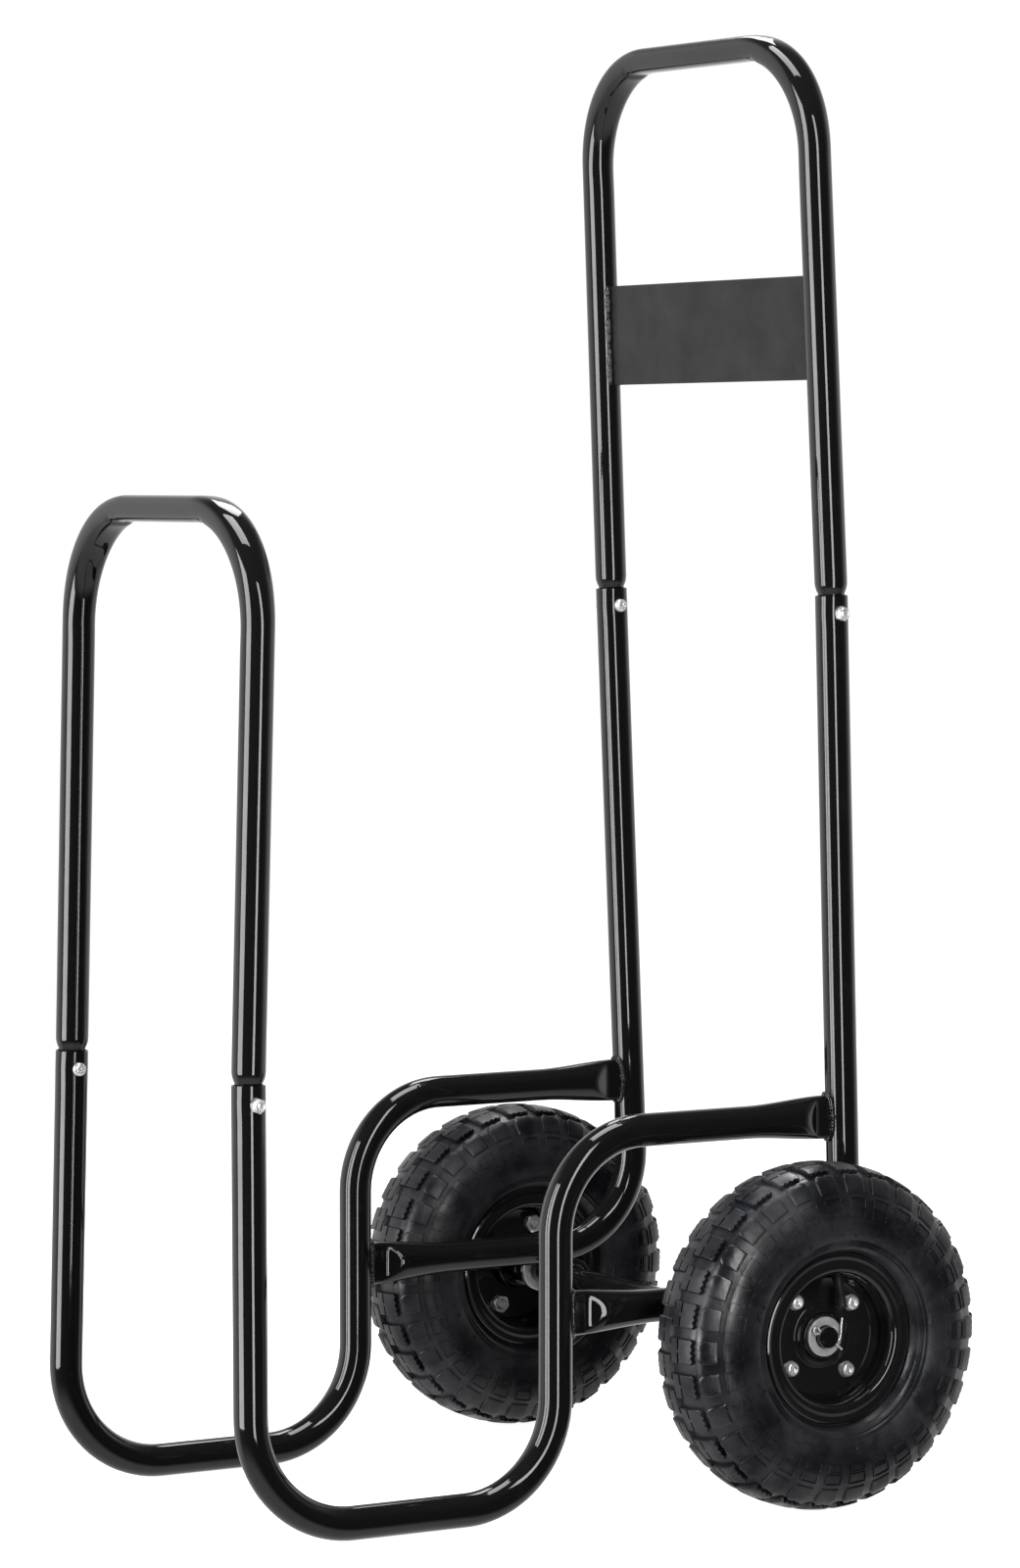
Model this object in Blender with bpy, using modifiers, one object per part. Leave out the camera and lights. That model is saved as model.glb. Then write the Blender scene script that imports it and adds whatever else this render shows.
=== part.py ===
"""Two-wheeled firewood cart.

Two bent side tubes form an open U-shaped cradle for the logs.  A front hoop and
a taller handle hoop plug into the tops of the side frames on swaged ends, each
leg held by a cross bolt.  The frame rides on a fixed axle with two pneumatic
wheels.

X is the width, with the mirror plane at X = 0.  The front hoop is towards -Y and
the handle towards +Y.  Z is up and the cart stands on Z = 0.  "left" is +X, the
left hand of a person who stands behind the handle.
"""

import math

import bmesh
import bpy
from mathutils import Matrix, Vector

# ---------------------------------------------------------------- dimensions
GAP = 0.0003  # clearance between touching pieces

TUBE_R = 0.0125  # frame tube, 25 mm outside diameter
TUBE_WALL = 0.0015
TUBE_SIDES_RES = 4  # bevel resolution, gives 12 sides
SWAGE_R = 0.0105  # reduced leg end that plugs into a socket
SWAGE_LEN = 0.034
GROOVE = 0.0018  # visible groove between shoulder and socket mouth

Y_ORIGIN = -0.0249  # Y of the rear cradle upright
HALF_SPAN = 0.1510  # centre plane to side tube axis
FRONT_TOE = 0.0095  # inward lean of the front uprights at their sockets
FRONT_FLARE = 0.0015  # the front hoop opens by this much a side up to its top
HANDLE_SPLAY = 0.0062  # outward lean of the handle uprights at their sockets
HANDLE_FLARE = -0.0035  # the handle hoop closes by this much a side up to its top
FRONT_Y = -0.2562  # front upright at floor level, from the rear upright
FRONT_LEAN = 0.0108  # slope of the front uprights towards the rear
FRONT_HOOP_LEAN = 0.0245
HANDLE_Y = 0.2595  # handle upright at tube B level, from the rear upright
HANDLE_LEAN = 0.0350
HANDLE_HOOP_LEAN = 0.0432

CRADLE_TOP_Z = 0.2835  # axis of the upper rear rail
LOWER_RAIL_Z = 0.1510  # axis of the lower rear rail
FRONT_JOINT_Z = 0.3350
HANDLE_JOINT_Z = 0.6805
FRONT_TOP_Z = 0.7470  # axis of the front hoop's top bar
HANDLE_TOP_Z = 1.0980
JOINT_BOLT_DROP = 0.0135  # joint bolt below the socket mouth

R_FRONT_BOTTOM = 0.0820
R_REAR_BOTTOM = 0.0770
R_CRADLE_TOP = 0.0750
R_LOWER_RAIL = 0.0750
R_FRONT_HOOP = 0.0850
R_HANDLE_HOOP = 0.0810
BEND_STEPS = 5

BAR_HALF = 0.0100  # half height of the pressed top bars
FLAT_HALF_W = 0.0056  # flattened rail ends
FLAT_HALF_H = 0.0168
FLAT_LEN = 0.0160
FLAT_BLEND = 0.0260

PLATE_Z0 = 0.8435
PLATE_Z1 = 0.9225
PLATE_T = 0.0020

AXLE_R = 0.0080
AXLE_Y = 0.1870
AXLE_Z = 0.1300
WHEEL_X = 0.2195  # centre plane to wheel centre plane
AXLE_END = 0.0185  # axle end beyond the wheel's centre plane
PIN_X = 0.0146  # split pin from the wheel's centre plane
WASHER_BORE = 0.0084
OUT_WASHER = (0.0090, 0.0115, 0.0150)  # from, to, radius
IN_WASHER = (-0.0438, -0.0408, 0.0170)
COLLAR = (0.1270, 0.1382, 0.0152)  # from, to (|X|), radius
SPACER = (0.1612, 0.1754, 0.0110)

TYRE_R = 0.1300
TYRE_HALF_W = 0.0410
BEAD_R = 0.0512
RIM_R = 0.0506
RIM_T = 0.0024
RIM_OFFSET = 0.0030  # the joined rim discs sit this far outboard of the centre plane
FLANGE_R = 0.0632
HUB_R = 0.0175
HUB_IN = -0.0405
HUB_OUT = 0.0087
BEARING_R = 0.0140
BEARING_W = 0.0090
BOLT_CIRCLE = 0.0354
INNER_TUBE_WALL = 0.0016
INNER_TUBE_AIR_R = 0.0022  # the valve's way in
WHEEL_BOLT_R = 0.0040
WHEEL_STEPS = 28

LEFT_PHASE = 40.2  # first wheel bolt, degrees from +Y towards +Z
RIGHT_PHASE = 64.0
VALVE_ANGLE_LEFT = 78.0
VALVE_ANGLE_RIGHT = 110.0

COLLECTION = "firewood_cart"

# ---------------------------------------------------------------- scene
for obj in list(bpy.data.objects):
    bpy.data.objects.remove(obj, do_unlink=True)
scene = bpy.context.scene
parts = bpy.data.collections.new(COLLECTION)
cutters = bpy.data.collections.new("cutters")
scene.collection.children.link(parts)
scene.collection.children.link(cutters)


def material(name, colour, roughness, metallic=0.0):
    mat = bpy.data.materials.get(name) or bpy.data.materials.new(name)
    mat.use_nodes = True
    shader = mat.node_tree.nodes["Principled BSDF"]
    shader.inputs["Base Color"].default_value = (*colour, 1.0)
    shader.inputs["Roughness"].default_value = roughness
    shader.inputs["Metallic"].default_value = metallic
    mat.diffuse_color = (*colour, 1.0)
    return mat


PAINT = (0.012, 0.012, 0.013)
RUBBER = (0.030, 0.031, 0.034)
ZINC = (0.62, 0.63, 0.65)
STEEL = (0.42, 0.42, 0.44)


def finish(obj, colour, roughness, metallic=0.0, angle=35.0):
    """Own material, smooth shading with sharp corners kept."""
    obj.data.materials.clear()
    obj.data.materials.append(
        material(obj.name + "_finish", colour, roughness, metallic)
    )
    obj.data.shade_smooth()
    obj.data.set_sharp_from_angle(angle=math.radians(angle))
    return obj


def new_object(name, mesh, into=parts):
    obj = bpy.data.objects.new(name, mesh)
    into.objects.link(obj)
    return obj


def as_cutter(obj):
    obj.hide_render = True
    obj.display_type = "WIRE"
    return obj


# ---------------------------------------------------------------- paths
def fillet(corners, radii, steps=BEND_STEPS):
    """A polyline whose inner corners are rounded to the given radii."""
    pts = [Vector(corners[0])]
    for i in range(1, len(corners) - 1):
        before, here, after = (Vector(corners[j]) for j in (i - 1, i, i + 1))
        radius = radii[i - 1]
        if radius <= 0:
            pts.append(here)
            continue
        u = (before - here).normalized()
        v = (after - here).normalized()
        half = u.angle(v) / 2
        cut = radius / math.tan(half)
        centre = here + (u + v).normalized() * (radius / math.sin(half))
        start = here + u * cut - centre
        end = here + v * cut - centre
        sweep = start.angle(end)
        axis = start.cross(end).normalized()
        for k in range(steps + 1):
            turn = Matrix.Rotation(sweep * k / steps, 3, axis)
            pts.append(centre + turn @ start)
    pts.append(Vector(corners[-1]))
    return pts


def tube(name, pts, radius, radii=None, wall=None, res=TUBE_SIDES_RES, into=parts):
    """A tube mesh along pts; hollow when a wall is given, else filled."""
    curve = bpy.data.curves.new(name + "_path", "CURVE")
    curve.dimensions = "3D"
    curve.twist_mode = "MINIMUM"
    spline = curve.splines.new("POLY")
    spline.points.add(len(pts) - 1)
    for i, (point, co) in enumerate(zip(spline.points, pts)):
        point.co = (*co, 1.0)
        point.radius = (radii[i] if radii else radius) / radius
    curve.bevel_depth = radius
    curve.bevel_resolution = res
    curve.use_fill_caps = wall is None
    path = new_object(name + "_path", curve, into)
    bpy.context.view_layer.update()
    graph = bpy.context.evaluated_depsgraph_get()
    mesh = bpy.data.meshes.new_from_object(path.evaluated_get(graph))
    obj = new_object(name, mesh, into)
    obj.matrix_world = path.matrix_world
    bpy.data.objects.remove(path, do_unlink=True)
    bm = bmesh.new()
    bm.from_mesh(mesh)
    bmesh.ops.remove_doubles(bm, verts=bm.verts, dist=0.00001)
    bm.faces.ensure_lookup_table()
    face = bm.faces[0]
    middle = face.calc_center_median()
    nearest = min(pts, key=lambda p: (Vector(p) - middle).length)
    if wall is not None and face.normal.dot(middle - Vector(nearest)) < 0:
        bmesh.ops.reverse_faces(bm, faces=bm.faces)
    if wall is None:
        bmesh.ops.recalc_face_normals(bm, faces=bm.faces)
    bm.to_mesh(mesh)
    bm.free()
    if wall is not None:
        shell = obj.modifiers.new("wall", "SOLIDIFY")
        shell.thickness = wall
        shell.offset = -1.0
        shell.use_even_offset = True
        shell.use_rim = True
    return obj


def smooth(t):
    t = min(1.0, max(0.0, t))
    return t * t * (3 - 2 * t)


def cut(obj, cutter, name="cut"):
    mod = obj.modifiers.new(name, "BOOLEAN")
    mod.operation = "DIFFERENCE"
    mod.solver = "EXACT"
    mod.object = cutter


def rod_cutter(name, centre, direction, radius, length, sides=16):
    """A round bar used as a cutter, centred on a point."""
    bm = bmesh.new()
    bmesh.ops.create_cone(
        bm,
        cap_ends=True,
        segments=sides,
        radius1=radius,
        radius2=radius,
        depth=length,
    )
    turn = Vector((0, 0, 1)).rotation_difference(Vector(direction).normalized())
    bmesh.ops.transform(
        bm,
        matrix=Matrix.Translation(Vector(centre)) @ turn.to_matrix().to_4x4(),
        verts=bm.verts,
    )
    mesh = bpy.data.meshes.new(name)
    bm.to_mesh(mesh)
    bm.free()
    return as_cutter(new_object(name, mesh, cutters))


def flatten_end(obj, y_end, y_sign, x0, z0):
    """Presses the end of a rail that runs along Y into a tall oval."""
    for v in obj.data.vertices:
        along = y_sign * (y_end - v.co.y)  # distance back from the end
        if along > FLAT_LEN + FLAT_BLEND or abs(v.co.z - z0) > 0.03:
            continue
        s = 1.0 - smooth((along - FLAT_LEN) / FLAT_BLEND)
        v.co.x = x0 + (v.co.x - x0) * (1 + s * (FLAT_HALF_W / TUBE_R - 1))
        v.co.z = z0 + (v.co.z - z0) * (1 + s * (FLAT_HALF_H / TUBE_R - 1))


# ---------------------------------------------------------------- side frames
Y0 = Y_ORIGIN
front_joint_y = Y0 + FRONT_Y + FRONT_LEAN * FRONT_JOINT_Z
handle_joint_y = Y0 + HANDLE_Y - HANDLE_LEAN * (HANDLE_JOINT_Z - LOWER_RAIL_Z)


def handle_axis(z):
    """Y of the handle upright's axis at a height below its joint."""
    return Y0 + HANDLE_Y - HANDLE_LEAN * (z - LOWER_RAIL_Z)


# Sideways lean of the uprights below each joint, in metres per metre of height.
FRONT_TAPER = FRONT_TOE / (FRONT_JOINT_Z - TUBE_R)
HANDLE_TAPER = -HANDLE_SPLAY / (HANDLE_JOINT_Z - LOWER_RAIL_Z)

for side, sx in (("left", 1), ("right", -1)):
    x = sx * HALF_SPAN
    xt = sx * (HALF_SPAN - FRONT_TOE)
    xh = sx * (HALF_SPAN + HANDLE_SPLAY)

    # Cradle tube: socket, front upright, U bottom, rear upright, upper rail.
    rail_end = handle_axis(CRADLE_TOP_Z)
    rail_stop = rail_end - TUBE_R * 0.55
    path = fillet(
        [
            (xt, front_joint_y, FRONT_JOINT_Z),
            (x, Y0 + FRONT_Y + FRONT_LEAN * TUBE_R, TUBE_R),
            (x, Y0, TUBE_R),
            (x, Y0, CRADLE_TOP_Z),
            (x, rail_stop, CRADLE_TOP_Z),
        ],
        [R_FRONT_BOTTOM, R_REAR_BOTTOM, R_CRADLE_TOP],
    )
    last = path.pop()
    for back in (FLAT_LEN + FLAT_BLEND, FLAT_LEN + FLAT_BLEND * 0.5, FLAT_LEN):
        path.append(Vector((x, rail_stop - back, CRADLE_TOP_Z)))
    path.append(last)
    cradle = tube("cradle_tube_" + side, path, TUBE_R, wall=TUBE_WALL)
    flatten_end(cradle, rail_stop, 1, x, CRADLE_TOP_Z)
    cope = rod_cutter(
        "cope_upper_" + side,
        (x - sx * HANDLE_TAPER * (CRADLE_TOP_Z - LOWER_RAIL_Z), rail_end, CRADLE_TOP_Z),
        (-sx * HANDLE_TAPER, -HANDLE_LEAN, 1),
        TUBE_R + GAP,
        0.09,
        24,
    )
    cut(cradle, cope, "cope")

    # Lower handle tube: socket, upright, bend, lower rail to the rear upright.
    front_stop = Y0 + TUBE_R * 0.55
    path = fillet(
        [
            (xh, handle_joint_y, HANDLE_JOINT_Z),
            (x, Y0 + HANDLE_Y, LOWER_RAIL_Z),
            (x, front_stop, LOWER_RAIL_Z),
        ],
        [R_LOWER_RAIL],
    )
    last = path.pop()
    for back in (FLAT_LEN + FLAT_BLEND, FLAT_LEN + FLAT_BLEND * 0.5, FLAT_LEN):
        path.append(Vector((x, front_stop + back, LOWER_RAIL_Z)))
    path.append(last)
    lower = tube("lower_handle_tube_" + side, path, TUBE_R, wall=TUBE_WALL)
    flatten_end(lower, front_stop, -1, x, LOWER_RAIL_Z)
    cope = rod_cutter(
        "cope_lower_" + side, (x, Y0, LOWER_RAIL_Z), (0, 0, 1), TUBE_R + GAP, 0.09, 24
    )
    cut(lower, cope, "cope")

    # Joint bolt holes through both sockets.
    for place, tube_obj, jy, jz, lean in (
        ("front", cradle, front_joint_y, FRONT_JOINT_Z, FRONT_LEAN),
        ("handle", lower, handle_joint_y, HANDLE_JOINT_Z, -HANDLE_LEAN),
    ):
        jx = xt if place == "front" else xh
        hole = rod_cutter(
            "bolt_hole_%s_%s" % (place, side),
            (jx, jy - lean * JOINT_BOLT_DROP, jz - JOINT_BOLT_DROP),
            (1, 0, 0),
            0.0034,
            0.05,
            8,
        )
        cut(tube_obj, hole, "bolt_hole")
    finish(cradle, PAINT, 0.22)
    finish(lower, PAINT, 0.22)

# ---------------------------------------------------------------- hoops


def hoop(name, half, top_half, joint_y, joint_z, socket_lean, lean, top_z, taper, bend_r):
    """An inverted U with swaged leg ends and a pressed top bar."""
    top_y = joint_y + lean * (top_z - joint_z)
    shoulder = joint_z + GROOVE
    neck = joint_z + GAP
    foot = joint_z - SWAGE_LEN
    blend = 0.004
    flare = (top_half - half) / (top_z - joint_z)

    def leg(sx):
        at = half * sx
        return [
            ((sx * (half + taper * SWAGE_LEN), joint_y - socket_lean * SWAGE_LEN, foot), SWAGE_R - GAP),
            ((at, joint_y + socket_lean * GAP, neck), SWAGE_R - GAP),
            ((at + sx * flare * (GROOVE + blend), joint_y + lean * (GROOVE + blend), shoulder + blend), TUBE_R),
        ]

    bend = fillet(
        [
            (-half - flare * 0.02, joint_y + lean * 0.02, joint_z + 0.02),
            (-top_half, top_y, top_z),
            (top_half, top_y, top_z),
            (half + flare * 0.02, joint_y + lean * 0.02, joint_z + 0.02),
        ],
        [bend_r, bend_r],
    )
    right, left = leg(-1), leg(1)
    pts = [Vector(p) for p, _ in right] + bend + [Vector(p) for p, _ in reversed(left)]
    radii = (
        [r for _, r in right] + [TUBE_R] * len(bend) + [r for _, r in reversed(left)]
    )
    obj = tube(name, pts, TUBE_R, radii=radii, wall=TUBE_WALL)
    # The press tool thins the top bar and both bends in the hoop's plane.
    for v in obj.data.vertices:
        height = v.co.z - (top_z - bend_r)
        if height <= 0:
            continue
        if abs(v.co.x) <= top_half - bend_r:
            v.co.z = top_z + (v.co.z - top_z) * BAR_HALF / TUBE_R
        else:
            centre = Vector((math.copysign(top_half - bend_r, v.co.x), top_z - bend_r))
            ray = Vector((v.co.x, v.co.z)) - centre
            turn = math.atan2(ray.y, abs(ray.x))
            s = smooth(turn / math.radians(50))
            depth = (ray.length - bend_r) * (1 + s * (BAR_HALF / TUBE_R - 1))
            ray = ray.normalized() * (bend_r + depth)
            v.co.x = centre.x + ray.x
            v.co.z = centre.y + ray.y
    for sx, side in ((1, "left"), (-1, "right")):
        drop = JOINT_BOLT_DROP
        hole = rod_cutter(
            "%s_hole_%s" % (name, side),
            (
                sx * (half + taper * drop),
                joint_y - socket_lean * drop,
                joint_z - drop,
            ),
            (1, 0, 0),
            0.0034,
            0.05,
            8,
        )
        cut(obj, hole, "bolt_hole_" + side)
    return finish(obj, PAINT, 0.22), top_y


front_hoop, _ = hoop(
    "front_hoop",
    HALF_SPAN - FRONT_TOE,
    HALF_SPAN - FRONT_TOE + FRONT_FLARE,
    front_joint_y,
    FRONT_JOINT_Z,
    FRONT_LEAN,
    FRONT_HOOP_LEAN,
    FRONT_TOP_Z,
    FRONT_TAPER,
    R_FRONT_HOOP,
)
handle_hoop, _ = hoop(
    "handle_hoop",
    HALF_SPAN + HANDLE_SPLAY,
    HALF_SPAN + HANDLE_SPLAY + HANDLE_FLARE,
    handle_joint_y,
    HANDLE_JOINT_Z,
    -HANDLE_LEAN,
    -HANDLE_HOOP_LEAN,
    HANDLE_TOP_Z,
    HANDLE_TAPER,
    R_HANDLE_HOOP,
)

# ---------------------------------------------------------------- handle plate
bpy.ops.mesh.primitive_cube_add(size=1.0)
plate = bpy.context.object
plate.name = plate.data.name = "handle_plate"
for holder in list(plate.users_collection):
    holder.objects.unlink(plate)
parts.objects.link(plate)
mid_z = (PLATE_Z0 + PLATE_Z1) / 2
plate_y = handle_joint_y - HANDLE_HOOP_LEAN * (mid_z - HANDLE_JOINT_Z)
leg_x = HALF_SPAN + HANDLE_SPLAY + HANDLE_FLARE * (PLATE_Z1 - HANDLE_JOINT_Z) / (
    HANDLE_TOP_Z - HANDLE_JOINT_Z
)
plate.data.transform(
    Matrix.Diagonal((2 * (leg_x - TUBE_R - GAP), PLATE_T, PLATE_Z1 - PLATE_Z0, 1.0))
)
plate.rotation_euler = (math.atan(HANDLE_HOOP_LEAN), 0, 0)
plate.location = (0, plate_y, mid_z)
finish(plate, PAINT, 0.30)


# ---------------------------------------------------------------- turned pieces
def turned(name, profile, steps, centre, sign, colour, roughness, metallic=0.0):
    """A closed profile of (radius, outboard) points turned about the X axis.

    The profile runs down its outer side, from high outboard to low.
    """
    mesh = bpy.data.meshes.new(name)
    verts = [(r, 0.0, z) for r, z in profile]
    edges = [(i, (i + 1) % len(profile)) for i in range(len(profile))]
    mesh.from_pydata(verts, edges, [])
    obj = new_object(name, mesh)
    screw = obj.modifiers.new("turn", "SCREW")
    screw.axis = "Z"
    screw.angle = math.tau
    screw.steps = steps
    screw.render_steps = steps
    screw.use_merge_vertices = True
    screw.merge_threshold = 0.00001
    screw.use_smooth_shade = True
    obj.location = centre
    obj.rotation_euler = (0, sign * math.pi / 2, 0)
    obj.data.materials.append(material(name + "_finish", colour, roughness, metallic))
    return obj


def ring(z_low, z_high, inner, outer):
    """Profile of a plain ring, outer side first, top to bottom."""
    return [(outer, z_high), (outer, z_low), (inner, z_low), (inner, z_high)]


AXLE_Y_ABS = Y0 + AXLE_Y

# ---------------------------------------------------------------- axle set
half_axle = WHEEL_X + AXLE_END
bevel = 0.0012
bm = bmesh.new()
bmesh.ops.create_cone(
    bm, cap_ends=True, segments=20, radius1=AXLE_R, radius2=AXLE_R, depth=2 * half_axle
)
mesh = bpy.data.meshes.new("axle")
bmesh.ops.rotate(bm, verts=bm.verts, matrix=Matrix.Rotation(math.pi / 2, 3, "Y"))
bm.to_mesh(mesh)
bm.free()
axle = new_object("axle", mesh)
axle.location = (0, AXLE_Y_ABS, AXLE_Z)
chamfer = axle.modifiers.new("chamfer", "BEVEL")
chamfer.width = bevel
chamfer.segments = 1
chamfer.limit_method = "ANGLE"
chamfer.angle_limit = math.radians(60)

PIN_ANGLE = math.radians(-30.0)  # split pin direction in the wheel plane


def split_pin(name, sx):
    """One bent wire: a ring eye, two passes through the axle, one leg bent round."""
    x = sx * (WHEEL_X + PIN_X)
    wire = 0.00085
    off = 0.00098
    # (along the pin, across the pin): eye on the - side, legs on the + side
    upper = [(0.0041, 0.0187), (0.0073, 0.0115), (0.0094, 0.0072), (0.0103, 0.0040), (0.0101, 0.0021), (0.0088, off)]
    eye = []
    for k in range(9):
        a = math.radians(28 + (360 - 56) * k / 8)
        eye.append((-0.0116 + 0.0026 * math.cos(a), 0.0026 * math.sin(a)))
    lower = [(0.0088, -off), (0.0112, -0.0014), (0.0165, -0.0024)]
    flat = upper + [(-0.0084, off)] + eye + [(-0.0084, -off)] + lower
    ca, sa = math.cos(PIN_ANGLE), math.sin(PIN_ANGLE)
    pts = [
        Vector((x, AXLE_Y_ABS + p * ca - q * sa, AXLE_Z + p * sa + q * ca))
        for p, q in flat
    ]
    return finish(tube(name, pts, wire, res=1), ZINC, 0.35, 0.9)


for side, sx in (("left", 1), ("right", -1)):
    direction = (0, math.cos(PIN_ANGLE), math.sin(PIN_ANGLE))
    hole = rod_cutter(
        "pin_hole_" + side,
        (sx * (WHEEL_X + PIN_X), AXLE_Y_ABS, AXLE_Z),
        direction,
        0.0024,
        0.03,
        12,
    )
    cut(axle, hole, "pin_hole_" + side)
    split_pin("split_pin_" + side, sx)
    centre = (sx * WHEEL_X, AXLE_Y_ABS, AXLE_Z)
    turned(
        "outer_washer_" + side,
        ring(OUT_WASHER[0], OUT_WASHER[1], WASHER_BORE, OUT_WASHER[2]),
        20, centre, sx, ZINC, 0.35, 0.9,
    )
    turned(
        "inner_washer_" + side,
        ring(IN_WASHER[0], IN_WASHER[1], WASHER_BORE, IN_WASHER[2]),
        20, centre, sx, ZINC, 0.35, 0.9,
    )
    turned(
        "axle_collar_" + side,
        ring(COLLAR[0], COLLAR[1], AXLE_R + GAP, COLLAR[2]),
        20, (0, AXLE_Y_ABS, AXLE_Z), sx, PAINT, 0.25,
    )
    turned(
        "axle_spacer_" + side,
        ring(SPACER[0], SPACER[1], AXLE_R + GAP, SPACER[2]),
        20, (0, AXLE_Y_ABS, AXLE_Z), sx, PAINT, 0.25,
    )
finish(axle, PAINT, 0.25)


# ---------------------------------------------------------------- fasteners
def fastener(name, centre, direction, head_r, head_h, dome, shank_r, length, sides=8):
    """A round-headed bolt: the origin under the head, the shank along +Z."""
    h = head_h
    profile = [
        (0.0, -h),
        (head_r * 0.55, -h),
        (head_r, -h + dome),
        (head_r, 0.0),
        (shank_r, 0.0),
        (shank_r, length),
        (0.0, length),
    ]
    mesh = bpy.data.meshes.new(name)
    profile = list(reversed(profile))
    mesh.from_pydata(
        [(r, 0.0, z) for r, z in profile],
        [(i, i + 1) for i in range(len(profile) - 1)],
        [],
    )
    obj = new_object(name, mesh)
    screw = obj.modifiers.new("turn", "SCREW")
    screw.axis = "Z"
    screw.steps = sides
    screw.render_steps = sides
    screw.use_merge_vertices = True
    screw.merge_threshold = 0.00001
    obj.location = centre
    obj.rotation_mode = "QUATERNION"
    obj.rotation_quaternion = Vector((0, 0, 1)).rotation_difference(
        Vector(direction).normalized()
    )
    obj.data.materials.append(material(name + "_finish", ZINC, 0.35, 0.9))
    return obj


def hex_nut(name, centre, direction, flats, height, bore, turn=0.0):
    """A hexagon nut with a plain bore; the origin on the seat, body along +Z."""
    corner = flats / 2 / math.cos(math.pi / 6)
    bm = bmesh.new()
    bmesh.ops.create_cone(
        bm, cap_ends=True, segments=6, radius1=corner, radius2=corner, depth=height
    )
    bmesh.ops.rotate(bm, verts=bm.verts, matrix=Matrix.Rotation(turn, 3, "Z"))
    bmesh.ops.translate(bm, verts=bm.verts, vec=(0, 0, height / 2))
    mesh = bpy.data.meshes.new(name)
    bm.to_mesh(mesh)
    bm.free()
    obj = new_object(name, mesh)
    obj.location = centre
    obj.rotation_mode = "QUATERNION"
    obj.rotation_quaternion = Vector((0, 0, 1)).rotation_difference(
        Vector(direction).normalized()
    )
    way = Vector(direction).normalized()
    hole = rod_cutter(
        name + "_bore", Vector(centre) + way * height / 2, direction, bore, height * 3, 8
    )
    cut(obj, hole, "bore")
    return finish(obj, ZINC, 0.35, 0.9)


for place, jy, jz, lean, half, taper in (
    ("front", front_joint_y, FRONT_JOINT_Z, FRONT_LEAN, HALF_SPAN - FRONT_TOE, FRONT_TAPER),
    ("handle", handle_joint_y, HANDLE_JOINT_Z, -HANDLE_LEAN, HALF_SPAN + HANDLE_SPLAY, HANDLE_TAPER),
):
    for side, sx in (("left", 1), ("right", -1)):
        by = jy - lean * JOINT_BOLT_DROP
        bz = jz - JOINT_BOLT_DROP
        axis_x = half + taper * JOINT_BOLT_DROP
        inner = sx * (axis_x - TUBE_R - GAP)
        outer = sx * (axis_x + TUBE_R + GAP)
        fastener(
            "joint_bolt_%s_%s" % (place, side),
            (inner, by, bz),
            (sx, 0, 0),
            0.0062, 0.0038, 0.0018, 0.0029, 2 * TUBE_R + 2 * GAP + 0.0072,
        )
        hex_nut(
            "joint_nut_%s_%s" % (place, side),
            (outer, by, bz),
            (sx, 0, 0),
            0.0100, 0.0050, 0.0029 + GAP, math.radians(12),
        )

# ---------------------------------------------------------------- wheels


def tyre_profile():
    """Outer carcass, bead, and the inner face of a hollow tyre, as (r, z)."""
    mid = TYRE_R - 0.0400
    outer = []
    for k in range(9):
        a = math.radians(120 - 240 * k / 8)  # from one sidewall over the tread
        c, s = math.sin(a), math.cos(a)
        n = 2.0 / 2.4
        z = math.copysign(abs(c) ** n, c) * TYRE_HALF_W
        r = mid + math.copysign(abs(s) ** n, s) * 0.0400
        outer.append((r, z))
    heel = [(BEAD_R, 0.0222), (0.0535, 0.0260), (0.0644, 0.0262)]
    outer = heel + outer + [(r, -z) for r, z in reversed(heel)]
    inner = [(BEAD_R, -0.0170)]
    for k in range(5):
        a = math.radians(-118 + 236 * k / 4)
        inner.append((mid + 0.0330 * math.cos(a), 0.0335 * math.sin(a)))
    inner.append((BEAD_R, 0.0170))
    return outer + inner


def tube_profile():
    """The inflated inner tube fills the tyre's hollow."""
    mid = TYRE_R - 0.0400
    pts = []
    for k in range(8):
        a = math.radians(90 - 45 * k + 22.5)
        pts.append((mid - 0.0012 + 0.0290 * math.cos(a), 0.0295 * math.sin(a)))
    return pts


def rim_profile(offset, boss):
    """One pressed rim half: disc against the joint plane, barrel, flange."""
    t = RIM_T
    face = offset + GAP / 2
    return [
        (FLANGE_R, 0.0288),
        (FLANGE_R, 0.0268),
        (0.0532, 0.0266),
        (RIM_R, 0.0228),
        (RIM_R - 0.0010, 0.0100),
        (0.0450, face),
        (HUB_R + GAP, face),
        (HUB_R + GAP, face + t + boss),
        (0.0206, face + t + boss),
        (0.0216, face + t + boss * 0.1),
        (0.0437, face + t),
        (RIM_R - 0.0010 - t, 0.0105),
        (RIM_R - t, 0.0240),
        (0.0525, 0.0288),
    ]


def hub_profile():
    """Long hub with a bearing seat at both ends; it reaches inboard."""
    seat = BEARING_R + GAP
    core = 0.0110
    return [
        (HUB_R, HUB_OUT),
        (HUB_R, HUB_IN),
        (seat, HUB_IN),
        (seat, HUB_IN + BEARING_W + 2 * GAP),
        (core, HUB_IN + BEARING_W + 2 * GAP),
        (core, HUB_OUT - BEARING_W - 2 * GAP),
        (seat, HUB_OUT - BEARING_W - 2 * GAP),
        (seat, HUB_OUT),
    ]


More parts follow.
